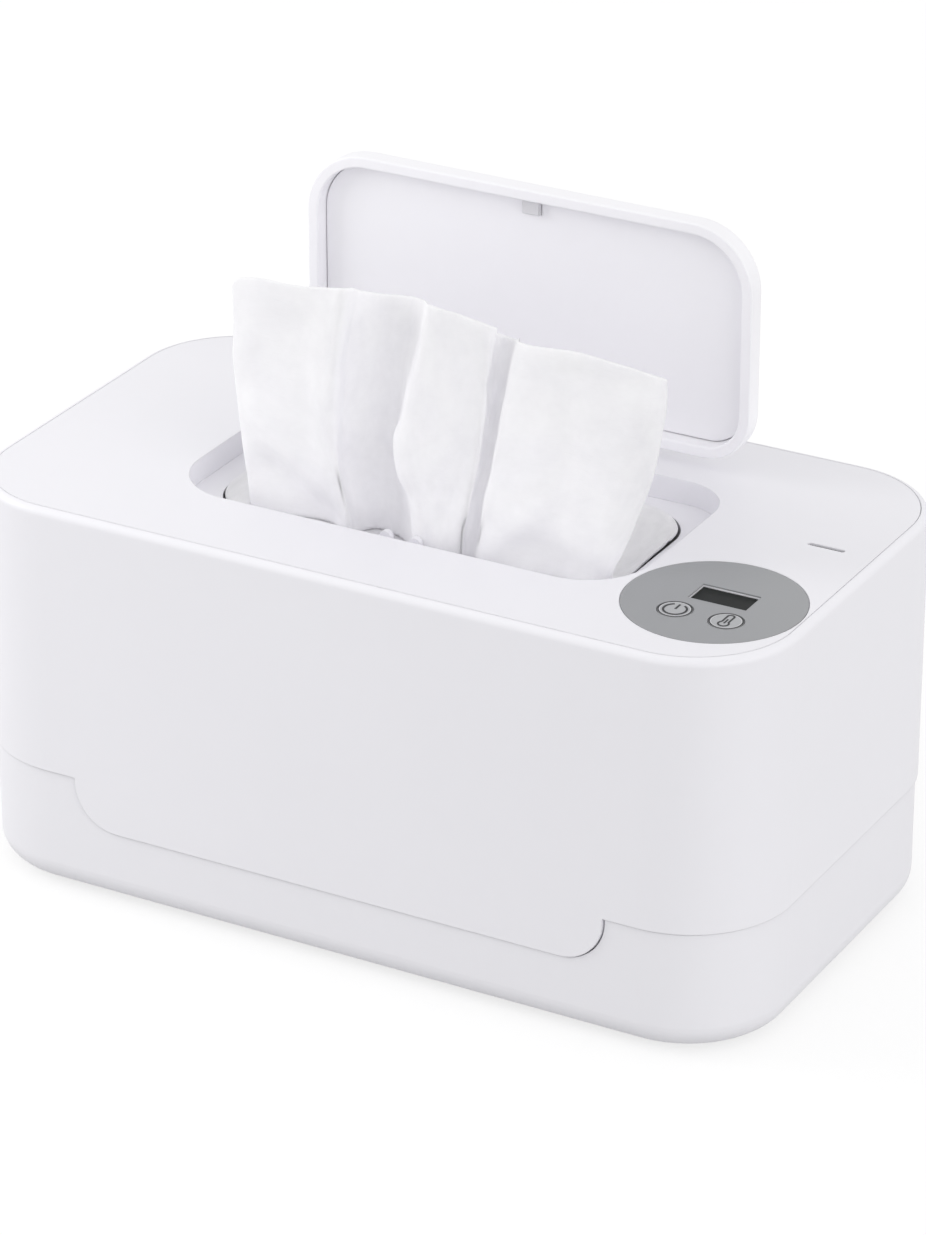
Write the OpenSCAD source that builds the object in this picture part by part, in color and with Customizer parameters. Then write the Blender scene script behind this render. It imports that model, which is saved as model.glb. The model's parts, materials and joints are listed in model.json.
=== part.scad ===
// Baby wipe warmer with a lift-off heated housing on a shallow base tray.
// Millimetres, +Z up. Origin at the middle of the footprint, on the surface that the feet rest on.
// The front is -Y and the lid's hinge is at the back. The lid is drawn standing open.

/* [Housing] */
// Length of the housing, left to right
body_l = 225; // [215:1:250]
// Depth of the housing, front to back
body_w = 124; // [118:1:140]
// Height of the top face above the surface
body_h = 108; // [104:1:125]
// Radius of the four upright corners
corner_r = 28; // [24:1:32]
// Wall thickness of the sleeve
wall = 2.4; // [2.2:0.1:2.8]
// Radius of the rounding along the sleeve's top edge
top_round = 2; // [1.2:0.1:2.1]
// Hairline seam between the sleeve and the top cover
seam = 0.15; // [0.1:0.05:0.3]

/* [Parting line] */
// Height of the parting line between base and sleeve
part_z = 34.6; // [30:0.2:38]
// Depth of the tab that drops below it at the front
tab_drop = 13.3; // [12.5:0.1:15]
// Length of that tab
tab_l = 151; // [120:1:155]
// Radius of the tab's two lower corners
tab_r = 12; // [6:0.5:12.4]
// Shadow gap along the parting line
part_gap = 0.4; // [0.2:0.05:0.6]

/* [Base tray] */
// How far the base stands back from the sleeve's outer face
base_inset = 0.65; // [0.4:0.05:1]
// Radius of the rounding along the base's lower edge
base_round = 7; // [5:0.5:9]
// Thickness of the floor
floor_t = 2.4; // [2:0.1:3]
// Thickness of the lip that stands up inside the sleeve
lip_t = 1.8; // [1.4:0.1:2.4]
// Height of the lip above the parting line
lip_h = 9; // [5:0.5:14]
// Clearance between the lip and the sleeve
lip_gap = 0.4; // [0.3:0.05:0.6]
// Height of the feet below the base
foot_h = 1.2; // [0.8:0.1:2]
// Diameter of a foot
foot_d = 12; // [8:0.5:16]
// Depth of the pocket that holds a foot
foot_pocket = 1; // [0.6:0.1:1.2]
// Distance of a foot's centre from the base's end and side
foot_edge = 22; // [20:0.5:28]

/* [Top cover] */
// Thickness of the top cover
cover_t = 2.4; // [2:0.1:2.8]
// Thickness of the recess's floor and of the throat's wall
dish_t = 1.8; // [1.5:0.1:2.2]
// Distance of the dispensing opening's ends from the lid's ends
hole_side = 6.7; // [5.4:0.1:12]
// Width of the floor strip in front of the dispensing opening
shelf_front = 6.6; // [5:0.2:10]
// Width of the floor strip behind the dispensing opening
shelf_rear = 6.4; // [5:0.2:9]
// Corner radius of the dispensing opening
hole_r = 14; // [8:1:18]
// Height of the electronics chamber, from the top face to the inner cover
chamber_h = 20; // [19:0.5:24]

/* [Lid] */
// Distance of the lid's ends from the housing's ends
lid_side = 48.8; // [48.4:0.1:53]
// Distance of the closed lid's rear edge from the housing's rear face
lid_rear = 33.1; // [32:0.1:37]
// Thickness of the lid at its rim
lid_t = 6.2; // [5.6:0.1:7]
// Distance of the closed lid's front edge from the housing's front face
lid_front = 28.4; // [26:0.2:32]
// Corner radius at the lid's front
lid_rf = 17; // [12:0.5:20]
// Corner radius at the lid's hinge side
lid_rr = 13; // [10:0.5:16]
// Thickness of the lid's outer plate
lid_plate = 1.2; // [1:0.1:1.6]
// Width of the lid's rim
rim_w = 3; // [2.6:0.1:3.6]
// Radius of the rounding along the lid's outer edge
lid_round = 1.6; // [0.8:0.1:2]
// Thickness of the lid's inner panel
liner_t = 0.8; // [0.6:0.1:1]
// Clearance between the inner panel and the rim
liner_gap = 0.25; // [0.15:0.05:0.5]
// Clearance between the closed lid and its recess
lid_gap = 0.6; // [0.4:0.1:1]
// How far the lid stands open
lid_open = 90; // [0:1:90]

/* [Lid hinge] */
// Distance of the hinge axis behind the closed lid
hinge_back = 9.4; // [9:0.1:11]
// Depth of the hinge axis below the top face
hinge_drop = 5.4; // [4.8:0.1:5.8]
// Length of the lid's hinge barrel
barrel_l = 60; // [40:1:70]
// Diameter of the barrel
barrel_d = 6.4; // [5.4:0.1:6.8]
// Diameter of a hinge pin
pin_d = 2.5; // [2:0.1:3]
// Length of a hinge pin
pin_l = 14; // [10:0.5:16]
// Radial clearance of a pin in the lid's barrel
pin_fit = 0.05; // [0.02:0.01:0.09]

/* [Control panel] */
// Radius of the round control panel
panel_r = 22.6; // [21.5:0.1:23.4]
// Distance of the panel from the housing's end
panel_side = 2.8; // [2.6:0.1:3.4]
// Distance of the panel from the housing's front
panel_front = 11.3; // [10.5:0.1:12.5]
// Thickness of the panel's film
film_t = 0.4; // [0.3:0.05:0.6]
// Length of the display opening
display_l = 15.5; // [13:0.1:16.5]
// Width of the display opening
display_w = 8.6; // [6.5:0.1:8.8]
// Depth of the display window below the panel
display_depth = 0.9; // [0.6:0.1:1.2]
// Diameter of a button
button_d = 8.6; // [7.6:0.1:9]
// Clearance round a button
button_gap = 0.2; // [0.15:0.05:0.35]
// Travel of a button
button_travel = 0.4; // [0.3:0.05:0.5]
// Distance between the two buttons
button_pitch = 13.6; // [12.8:0.1:14.4]

/* [Heater] */
// Distance of the heater plate from the housing's ends
heater_side = 19.5; // [18:0.5:27]
// Distance of the heater plate from the housing's front and rear
heater_edge = 16; // [14:0.5:18]
// Thickness of the heater plate
heater_t = 1.2; // [0.8:0.1:2]
// Thickness of the insulation pad
pad_t = 3; // [2.5:0.1:4]
// Thickness of the heating film
foil_t = 0.4; // [0.3:0.05:0.6]
// Thickness of the inner cover
inner_t = 2; // [1.6:0.1:2.4]

/* [Power socket] */
// Distance of the socket from the housing's right end
socket_side = 32.5; // [30:0.5:36]
// Diameter of the socket's barrel
socket_d = 10.8; // [9.6:0.1:11]
// Bore of the socket
socket_bore = 6.4; // [5.6:0.1:6.6]

/* [Wipes] */
// Length of the stack of wipes
stack_l = 190; // [150:1:200]
// Depth of the stack
stack_w = 100; // [80:1:106]
// Height of the stack
stack_h = 55; // [20:1:58]
// Height of the raised wipe above the top face
wipe_rise = 58; // [30:1:62]

/* [Hidden] */
$fn = 96;

// Overlap that keeps a cutter clear of the face that it cuts through
bite = 1;

// Heights
base_z = foot_h;
floor_z = base_z + floor_t;
cover_z = body_h - cover_t;
recess_z = body_h - lid_t - 0.3;
dish_z = recess_z - dish_t;
inner_z = body_h - chamber_h - inner_t;
foil_z = inner_z - pad_t - foil_t;
plate_z = foil_z - heater_t;

// Sleeve: insets are measured inwards from the outer face
sleeve_end = part_z - tab_drop;
ledge_in = wall + 1.6;
ledge_h = 3;
lip_in = wall + lip_gap;
bay_in = lip_in + lip_t;

// Lid, closed
lid_l = body_l - 2 * lid_side;
lid_y0 = -body_w / 2 + lid_front;
lid_y1 = body_w / 2 - lid_rear;
lid_half = lid_l / 2;
lid_z = body_h - lid_t;
hinge_y = lid_y1 + hinge_back;
hinge_z = body_h - hinge_drop;
barrel_r = barrel_d / 2;
pin_in = barrel_l / 2 - 8;

// Recess under the lid: the rear gap lets the lid's rear edge swing past the top face
swing_r = norm([hinge_back, lid_t - hinge_drop]);
rear_gap = hinge_back - sqrt(pow(swing_r, 2) - pow(hinge_drop, 2)) + 0.4;
recess_y1 = lid_y1 + rear_gap;

// Hinge well behind the recess
well_half = barrel_l / 2 + 0.8;
well_y = hinge_y + hinge_drop + 0.3;
well_z = hinge_z - barrel_r - 1.1;
well_side = pin_l - (barrel_l / 2 - pin_in) - 0.8;

// Dispensing opening
hole_l = lid_l - 2 * hole_side;
hole_y0 = lid_y0 - lid_gap + shelf_front;
hole_y1 = recess_y1 - shelf_rear;

// Snap fingers, and the lid's catch, which reaches from the lid's rim in between them
finger_l = 3.2;
finger_w = 1.8;
finger_h = body_h - lid_plate - liner_t - 0.5 - recess_z;
finger_y = hole_y0 + 0.4;
catch_l = 4.6;
catch_h = 2.4;
catch_y = lid_y0 + rim_w + liner_gap + 0.1;
catch_w = finger_y + 1.2 - catch_y;
finger_x = catch_l / 2 + 0.3 + finger_l / 2;

// Control panel
panel_x = body_l / 2 - panel_side - panel_r;
panel_y = -body_w / 2 + panel_front + panel_r;
display_x = panel_x + 1;
display_y = panel_y + 3.5;
button_y = panel_y - 8.2;
button_x = [panel_x + 0.4 - button_pitch / 2, panel_x + 0.4 + button_pitch / 2];
panel_under = 1.2;
flange_z = cover_z - panel_under - 0.1;
flange_t = 1;
flange_more = 1;
board_z = body_h - 10;
board_t = 1.6;
board_end = 8;
board_gap = 3.4;
board_x1 = body_l / 2 - board_end;
board_x0 = lid_half + lid_gap + dish_t + board_gap;
board_l = board_x1 - board_x0;
board_w = 38;
board_x = (board_x0 + board_x1) / 2;
board_y = panel_y + 0.1;
post_in = 3;

// Indicator slot
slot_l = 10;
slot_w = 1.3;
slot_x = body_l / 2 - 15.1;
slot_y = body_w / 2 - 49.5;
lamp_l = 21;
lamp_w = 8;

// Snap hooks along the sleeve's long sides
hook_x = body_l / 2 - 50.5;

// Power socket
socket_x = body_l / 2 - socket_side;
socket_z = body_h - 11;
flange_r = socket_d / 2 + 1.7;
collar_r = socket_d / 2 + 3.1;

// Screw bosses between top cover and inner cover
boss_r = 3.4;
screw_r = 1.35;
boss_at = [
    [-body_l / 2 + 14.5, -body_w / 2 + 27], [-body_l / 2 + 14.5, body_w / 2 - 25],
    [body_l / 2 - 14.5, body_w / 2 - 25], [-36, lid_y0 - 14], [36, lid_y0 - 14],
    [-55, hinge_y + 9.5], [55, hinge_y + 9.5]
];
heater_l = body_l - 2 * heater_side;
heater_w = body_w - 2 * heater_edge;
heater_at = [for (x = [-1, 1], y = [-1, 1]) [x * (heater_l / 2 - 9), y * (heater_w / 2 - 6)]];
board_at = [for (x = [-1, 1], y = [-1, 1])
    [board_x + x * (board_l / 2 - post_in), board_y + y * (board_w / 2 - post_in)]];

// Heater: the thermal cut-out, the lead hole and the sensor lie beside the opening
cutout_at = [-hole_l / 2 - 21, 0, 0];
grommet_at = [hole_l / 2 + 14, 12, 0];
sensor_at = [hole_l / 2 + 14, -8, 0];

// Connectors hang under the board's rear edge: sensor, heater and power
plug_at = [for (k = [-1:1]) [board_x + 9 * k, board_y + 14, board_z - 4.6]];
socket_back = body_w / 2 - 20.9;

// Fold lines of the raised wipe at its top edge: share of the opening's half length, distance
// behind the opening's front edge and height below the peak
crest = [
    [-1, 11.6, 7.6], [-0.667, 9.6, 3.6], [-0.333, 8.6, 1.4], [-0.368, 18.6, 7],
    [-0.246, 22.6, 8], [-0.088, 19.6, 7], [0.07, 10.6, 1], [0.228, 15.6, 5.5],
    [0.316, 22.6, 12], [0.298, 30.6, 16], [0.421, 16.6, 10], [0.754, 17.6, 11.6],
    [1.07, 21.6, 13.6]
];
// The same fold lines where they come through the opening
waist = [
    [-0.877, 7.6], [-0.614, 4.6], [-0.351, 4.1], [-0.404, 14.6], [-0.263, 19.6],
    [-0.105, 16.6], [0.053, 6.6], [0.175, 9.6], [0.228, 17.6], [0.211, 25.6],
    [0.316, 7.6], [0.632, 5.6], [0.93, 14.6]
];
cloth_t = 1.2;
cloth_z = floor_z + stack_h + 1.5;
waist_z = recess_z - 2;
wipe_top = body_h + wipe_rise;

white = [0.93, 0.93, 0.95];

// Plan shapes

// Rounded rectangle about the middle, drawn a given inset inside l by w with corners r
module plan(l, w, r, inset = 0) {
    for (x = [-1, 1], y = [-1, 1])
        translate([x * (l / 2 - r), y * (w / 2 - r)]) circle(r - inset);
    square([l - 2 * inset, w - 2 * r], center = true);
    square([l - 2 * r, w - 2 * inset], center = true);
}

// Outline with one radius at the front corners and another at the rear ones
module outline(half, y0, y1, rf, rr) {
    for (s = [-1, 1]) {
        translate([s * (half - rf), y0 + rf]) circle(rf);
        translate([s * (half - rr), y1 - rr]) circle(rr);
    }
    polygon([
        [half, y0 + rf], [half, y1 - rr], [half - rr, y1], [rr - half, y1],
        [-half, y1 - rr], [-half, y0 + rf], [rf - half, y0], [half - rf, y0]
    ]);
}

// The housing's plan, inset from its outer face
module body_plan(inset) plan(body_l, body_w, corner_r, inset);

// The lid's plan, grown outwards by more
module lid_plan(more) {
    outline(lid_half + more, lid_y0 - more, lid_y1 + more, lid_rf + more, lid_rr + more);
}

// The plan of the recess that the lid closes into, grown outwards by more
module recess_plan(more = 0) {
    side = lid_gap + more;
    outline(lid_half + side, lid_y0 - side, recess_y1 + more, lid_rf + side, lid_rr + side);
}

// The dispensing opening's plan, grown outwards by more
module hole_plan(more = 0) {
    outline(hole_l / 2 + more, hole_y0 - more, hole_y1 + more, hole_r + more, hole_r + more);
}

// Carries a profile round the housing's plan; its x is measured outwards from the outer face
module round_body(inset = 0) {
    r = corner_r - inset;
    for (q = [0:3]) {
        reach = (q % 2 == 0 ? body_l : body_w) / 2 - inset;
        half = (q % 2 == 0 ? body_w : body_l) / 2 - corner_r;
        rotate(90 * q) {
            translate([reach, half, 0]) rotate([90, 0, 0]) linear_extrude(2 * half) children();
            translate([reach - r, half, 0])
                rotate_extrude(angle = 90) translate([r, 0]) children();
        }
    }
}

// Carries a profile round the lid's plan
module round_lid() {
    side = lid_y1 - lid_rr - lid_y0 - lid_rf;
    for (s = [0, 1]) mirror([s, 0, 0]) {
        translate([lid_half, lid_y1 - lid_rr, 0])
            rotate([90, 0, 0]) linear_extrude(side) children();
        translate([lid_half - lid_rr, lid_y1 - lid_rr, 0])
            rotate_extrude(angle = 90) translate([lid_rr, 0]) children();
        translate([lid_half - lid_rf, lid_y0 + lid_rf, 0]) rotate(-90)
            rotate_extrude(angle = 90) translate([lid_rf, 0]) children();
    }
    rotate(-90) translate([-lid_y0, lid_half - lid_rf, 0])
        rotate([90, 0, 0]) linear_extrude(2 * (lid_half - lid_rf)) children();
    rotate(90) translate([lid_y1, lid_half - lid_rr, 0])
        rotate([90, 0, 0]) linear_extrude(2 * (lid_half - lid_rr)) children();
}

// Solid of the housing's plan from z0 to z1 with a rounded lower edge
module bowl(inset, z0, z1, round) {
    translate([0, 0, z0 + round]) linear_extrude(z1 - z0 - round) body_plan(inset);
    translate([0, 0, z0]) linear_extrude(round) body_plan(inset + round);
    round_body(inset) translate([-round, z0 + round]) intersection() {
        circle(round);
        translate([0, -round]) square(round);
    }
}

// The front tab of the sleeve, as a prism through the front wall, grown by more
module tab_prism(more, deep) {
    half = tab_l / 2 + more;
    low = sleeve_end - more;
    r = tab_r + more;
    translate([0, -body_w / 2 + deep, 0]) rotate([90, 0, 0]) linear_extrude(deep + bite) {
        translate([-half, low + r]) square([2 * half, part_z - low - r + bite]);
        translate([r - half, low]) square([2 * (half - r), r]);
        for (s = [-1, 1]) translate([s * (half - r), low + r]) circle(r);
    }
}

// Turns what is drawn closed about the hinge to the open position
module opened() {
    translate([0, hinge_y, hinge_z]) rotate([-lid_open, 0, 0])
        translate([0, -hinge_y, -hinge_z]) children();
}

// Upright stadium of length l and width w, from z0 to z1
module stadium(l, w, z0, z1) {
    translate([0, 0, z0]) linear_extrude(z1 - z0) {
        square([l - w, w], center = true);
        for (s = [-1, 1]) translate([s * (l - w) / 2, 0]) circle(w / 2);
    }
}

// Upright tube from z0 to z1
module tube(r, bore, z0, z1) {
    translate([0, 0, z0]) difference() {
        cylinder(r = r, h = z1 - z0);
        translate([0, 0, -bite]) cylinder(r = bore, h = z1 - z0 + 2 * bite);
    }
}

// Pan-head screw driven upwards: the head sits below z, the shank above it
module screw(z, head_r, head_h, shank_r, shank_l) {
    translate([0, 0, z - head_h]) difference() {
        union() {
            cylinder(r1 = head_r * 0.82, r2 = head_r, h = head_h * 0.4);
            translate([0, 0, head_h * 0.4]) cylinder(r = head_r, h = head_h * 0.6);
        }
        for (a = [0, 90]) rotate(a)
            translate([0, 0, head_h * 0.2]) cube([head_r * 1.1, 0.6, head_h * 0.6], center = true);
    }
    translate([0, 0, z]) cylinder(r = shank_r, h = shank_l);
}

// Wires: a round tube swept along a list of points, eased between them

function eased(p, i, t) =
    let (a = p[max(i - 1, 0)], b = p[i], c = p[i + 1], d = p[min(i + 2, len(p) - 1)])
    0.5 * (2 * b + (c - a) * t + (2 * a - 5 * b + 4 * c - d) * t * t
        + (3 * b - a - 3 * c + d) * t * t * t);
function route(p, steps) = concat(
    [for (i = [0:len(p) - 2], k = [0:steps - 1]) eased(p, i, k / steps)], [p[len(p) - 1]]);
function unit(v) = v / norm(v);
function heading(p, i) = unit(p[min(i + 1, len(p) - 1)] - p[max(i - 1, 0)]);
function ring(c, t, side, r, n) =
    let (u = unit(cross(t, side)), v = cross(t, u))
    [for (k = [0:n - 1]) c + r * (u * cos(360 * k / n) + v * sin(360 * k / n))];

// A wire of radius r along the points p; side is a direction that it never runs along
module wire(p, r, side = [1, 0.1, 0.05], n = 8, steps = 4) {
    path = route(p, steps);
    rings = [for (i = [0:len(path) - 1]) ring(path[i], heading(path, i), side, r, n)];
    last = len(path) - 1;
    polyhedron(
        points = [for (q = rings) each q],
        faces = concat(
            [[for (k = [0:n - 1]) k]],
            [for (i = [0:last - 1], k = [0:n - 1]) each [
                [i * n + k, (i + 1) * n + k, i * n + (k + 1) % n],
                [i * n + (k + 1) % n, (i + 1) * n + k, (i + 1) * n + (k + 1) % n]]],
            [[for (k = [0:n - 1]) last * n + n - 1 - k]]
        )
    );
}

// Base

module base_tray() color(white) difference() {
    union() {
        bowl(base_inset, base_z, part_z - part_gap, base_round);
        bowl(lip_in, base_z, part_z + lip_h, base_round);
    }
    bowl(bay_in, floor_z, part_z + lip_h + bite, 3);
    tab_prism(part_gap, lip_in);
    foot_places() translate([0, 0, base_z - bite])
        cylinder(d = foot_d + 0.4, h = foot_pocket + bite);
}

module foot_places() {
    for (x = [-1, 1], y = [-1, 1])
        translate([x * (body_l / 2 - foot_edge), y * (body_w / 2 - foot_edge), 0]) children();
}

module rubber_feet() color([0.75, 0.75, 0.76]) foot_places() {
    cylinder(d1 = foot_d - 0.8, d2 = foot_d, h = 0.4);
    translate([0, 0, 0.4]) cylinder(d = foot_d, h = base_z + foot_pocket - 0.4);
}

// Housing

module sleeve() color(white) difference() {
    union() {
        round_body() {
            translate([-wall, sleeve_end]) square([wall, cover_z - sleeve_end]);
            translate([-top_round, cover_z]) square([top_round, cover_t - top_round]);
            translate([-top_round, body_h - top_round]) intersection() {
                circle(top_round);
                square(top_round);
            }
            translate([-ledge_in, cover_z - ledge_h]) square([ledge_in - wall, ledge_h]);
        }
        socket_place() translate([0, 0, wall - 0.1]) cylinder(r = collar_r, h = 2.1);
    }
    difference() {
        translate([-body_l, -body_w, 0]) cube([2 * body_l, 2 * body_w, part_z]);
        tab_prism(0, wall + bite);
    }
    socket_place() {
        translate([0, 0, -bite]) cylinder(r = flange_r + 0.2, h = 1.2 + bite);
        cylinder(r = socket_d / 2 + 0.1, h = 3 * wall);
    }
}

// The socket's axis: z runs into the housing from the outer face of its rear wall
module socket_place() {
    translate([socket_x, body_w / 2, socket_z]) rotate([90, 0, 0]) children();
}

module top_cover() color(white) difference() {
    union() {
        translate([0, 0, cover_z]) linear_extrude(cover_t) body_plan(top_round + seam);
        // Wall round the recess that the lid closes into
        translate([0, 0, recess_z]) linear_extrude(cover_z - recess_z + 0.1) recess_plan(dish_t);
        hinge_block();
        // Thicker disc under the control panel
        translate([panel_x, panel_y, cover_z - panel_under])
            cylinder(r = panel_r - 2, h = panel_under + 0.1);
        for (p = boss_at) translate(p) tube(boss_r, screw_r - 0.2, inner_z + inner_t, cover_z + 0.1);
        for (p = board_at) translate(p) tube(2.6, 0.8, board_z + board_t, cover_z + 0.1);
        snap_hooks();
        for (s = [-1, 1]) translate([slot_x + s * (lamp_l / 2 - 1.8), slot_y, 0]) {
            translate([0, 0, body_h - 6]) cylinder(r = 1.5, h = 6 - cover_t + 0.1);
            translate([0, 0, body_h - 7.6]) cylinder(r = 0.8, h = 2);
        }
    }
    translate([0, 0, recess_z]) linear_extrude(body_h) recess_plan();
    translate([-well_half, recess_y1 - 0.1, well_z])
        cube([2 * well_half, well_y - recess_y1 + 0.1, body_h]);
    hinge_line() cylinder(d = pin_d + 0.04, h = 2 * (pin_in + pin_l), center = true);
    // Pocket of the control film, the display opening and the two button holes
    translate([panel_x, panel_y, body_h - film_t]) cylinder(r = panel_r + 0.2, h = bite);
    translate([display_x, display_y, body_h]) {
        cube([display_l, display_w, 20], center = true);
        translate([0, 0, -display_depth - 10])
            cube([display_l + 1.6, display_w + 1.6, 20], center = true);
    }
    for (x = button_x) translate([x, button_y, cover_z - 5])
        cylinder(d = button_d + 2 * button_gap, h = 20);
    // Indicator slot
    translate([slot_x, slot_y, 0]) {
        stadium(slot_l, slot_w, cover_z - bite, body_h + bite);
        stadium(slot_l + 3, slot_w + 3, cover_z - bite, body_h - 1.2);
    }
}

// Block round the hinge well, which holds the pins
module hinge_block() {
    half = well_half + well_side;
    translate([-half, recess_y1 - dish_t, well_z - dish_t])
        cube([2 * half, well_y - recess_y1 + 2 * dish_t, cover_z - well_z + dish_t + 0.1]);
}

// The recess's floor and the throat that the wipes come up through, held between the top cover's
// recess wall and the inner cover, on which its flange rests
module opening_frame() color(white) {
    snap_fingers();
    throat();
}

module throat() difference() {
    union() {
        translate([0, 0, dish_z]) linear_extrude(dish_t) recess_plan(dish_t);
        translate([0, 0, inner_z + 0.2]) linear_extrude(dish_z - inner_z) hole_plan(dish_t);
        translate([0, 0, inner_z + inner_t]) linear_extrude(1.2) hole_plan(dish_t + 1.6);
    }
    translate([0, 0, inner_z - bite]) linear_extrude(body_h) hole_plan();
    hinge_block();
}

// Two small fingers at the opening's front edge that grip the lid's catch
module snap_fingers() {
    root = finger_y + finger_w - hole_y0 + 1;
    for (s = [-1, 1]) translate([s * finger_x - finger_l / 2, finger_y, recess_z]) {
        translate([0, finger_w - root, -dish_t]) cube([finger_l, root, dish_t]);
        translate([0, 0, -0.1]) cube([finger_l, finger_w, finger_h - finger_l / 2 + 0.1]);
        translate([finger_l / 2, 0, finger_h - finger_l / 2])
            rotate([-90, 0, 0]) cylinder(d = finger_l, h = finger_w, $fn = 32);
    }
}

// Hooks that snap under the sleeve's ledge
module snap_hooks() {
    hook_l = 10;
    hook_t = 1.4;
    for (s = [-1, 1]) {
        for (x = [-hook_x, hook_x]) translate([x, s * (body_w / 2 - ledge_in - 0.25), 0])
            rotate(s > 0 ? 0 : 180) hook(hook_l, hook_t);
        translate([s * (body_l / 2 - ledge_in - 0.25), body_w / 2 - corner_r - 6, 0])
            rotate(s > 0 ? -90 : 90) hook(hook_l, hook_t);
    }
}

// One hook: its back faces +y
module hook(l, t) {
    low = cover_z - ledge_h - 2;
    translate([-l / 2, -t, low]) cube([l, t, cover_z - low + 0.1]);
    translate([-l / 2, -0.1, low]) cube([l, 0.9, 1.7]);
}

module inner_cover() color([0.86, 0.86, 0.88]) difference() {
    union() {
        translate([0, 0, inner_z]) linear_extrude(inner_t) body_plan(ledge_in + 0.6);
        for (p = heater_at) translate(p) translate([0, 0, foil_z])
            cylinder(r = 3.2, h = inner_z - foil_z + 0.1);
    }
    translate([0, 0, inner_z - bite]) linear_extrude(inner_t + 2 * bite) hole_plan(dish_t + 0.3);
    for (p = boss_at) translate(p) translate([0, 0, inner_z - bite])
        cylinder(r = screw_r + 0.2, h = inner_t + 2 * bite);
    for (p = heater_at) translate(p) translate([0, 0, foil_z - bite])
        cylinder(r = 1, h = inner_z - foil_z + bite);
    translate(cutout_at) cylinder(r = 7.2, h = body_h);
    translate(grommet_at) cylinder(r = 3.5, h = body_h);
}

module cover_screws() color([0.7, 0.7, 0.72]) for (p = boss_at)
    translate(p) screw(inner_z, 2.6, 1.8, screw_r - 0.25, 10);

// Heater

module heater_plan(inset) plan(heater_l, heater_w, 14, inset);

module heater_plate() color([0.8, 0.81, 0.83]) difference() {
    translate([0, 0, plate_z]) linear_extrude(heater_t) heater_plan(0);
    translate([0, 0, plate_z - bite]) linear_extrude(heater_t + 2 * bite) hole_plan(4);
    for (p = heater_at) translate(p) translate([0, 0, plate_z - bite])
        cylinder(r = 1.4, h = heater_t + 2 * bite);
}

module heating_film() color([0.85, 0.5, 0.15]) difference() {
    translate([0, 0, foil_z]) linear_extrude(foil_t) heater_plan(3);
    translate([0, 0, foil_z - bite]) linear_extrude(foil_t + 2 * bite) hole_plan(7);
    for (p = heater_at) translate(p) translate([0, 0, foil_z - bite])
        cylinder(r = 4, h = foil_t + 2 * bite);
}

module insulation_pad() color([0.6, 0.6, 0.58]) difference() {
    translate([0, 0, foil_z + foil_t]) linear_extrude(pad_t) heater_plan(1);
    translate([0, 0, foil_z]) linear_extrude(pad_t + 2 * bite) hole_plan(5);
    for (p = heater_at) translate(p) translate([0, 0, foil_z]) cylinder(r = 4, h = pad_t + 2 * bite);
    for (p = boss_at) translate(p) translate([0, 0, foil_z]) cylinder(r = 3.4, h = pad_t + 2 * bite);
    translate(cutout_at) translate([0, 0, foil_z]) cylinder(r = 8.4, h = pad_t + 2 * bite);
    translate(grommet_at) translate([0, 0, foil_z]) cylinder(r = 4.5, h = pad_t + 2 * bite);
    translate(sensor_at) translate([-4, -3, foil_z]) cube([8, 20, pad_t + 2 * bite]);
}

module heater_screws() color([0.7, 0.7, 0.72]) for (p = heater_at)
    translate(p) screw(plate_z, 2.4, 1.6, 0.95, heater_t + pad_t - 0.2);

// Round bimetal switch that opens if the plate runs too hot
module thermal_cutout() translate(cutout_at) translate([0, 0, foil_z + foil_t]) {
    color([0.75, 0.75, 0.77]) cylinder(r = 7.6, h = 1.2);
    color([0.2, 0.2, 0.2]) translate([0, 0, 1.2]) cylinder(r = 6.6, h = 5);
    color([0.8, 0.7, 0.4]) for (s = [-1, 1])
        translate([s * 4 - 0.4, -2, 6.1]) cube([0.8, 4, 3.5]);
}

// Bead thermistor on the heating film
module temperature_sensor() color([0.15, 0.15, 0.15]) translate(sensor_at)
    translate([0, 0, foil_z + foil_t]) {
        translate([-2, -1.5, 0]) cube([4, 6, 0.8]);
        translate([0, 0, 1.3]) sphere(r = 1.2, $fn = 24);
        translate([0, 0, 1.3]) rotate([-90, 0, 0]) cylinder(r = 1.2, h = 4, $fn = 24);
    }

// Lid

module hinge_line() translate([0, hinge_y, hinge_z]) rotate([0, 90, 0]) children();

module lid_shell() color(white) opened() difference() {
    union() {
        round_lid() {
            translate([-rim_w, lid_z + 0.5]) square([rim_w, lid_t - lid_round - 0.5]);
            translate([-rim_w + 0.5, lid_z]) square([rim_w - 1, lid_t - lid_round]);
            for (x = [-rim_w + 0.5, -0.5]) translate([x, lid_z + 0.5]) circle(0.5);
            translate([-rim_w, body_h - lid_round]) square([rim_w - lid_round, lid_round]);
            translate([-lid_round, body_h - lid_round]) intersection() {
                circle(lid_round);
                square(lid_round);
            }
        }
        translate([0, 0, body_h - lid_plate]) linear_extrude(lid_plate) lid_plan(-rim_w + 0.1);
        // Arm and barrel of the hinge
        translate([-barrel_l / 2, lid_y1 - rim_w, lid_z + 0.5])
            cube([barrel_l, rim_w + hinge_back - 2.2, lid_t - 0.5]);
        hinge_line() cylinder(r = barrel_r, h = barrel_l, center = true);
    }
    for (s = [-1, 1]) translate([s * (pin_in - 0.6), hinge_y, hinge_z])
        rotate([0, s * 90, 0]) cylinder(r = pin_d / 2 + pin_fit, h = barrel_l);
}

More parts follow.
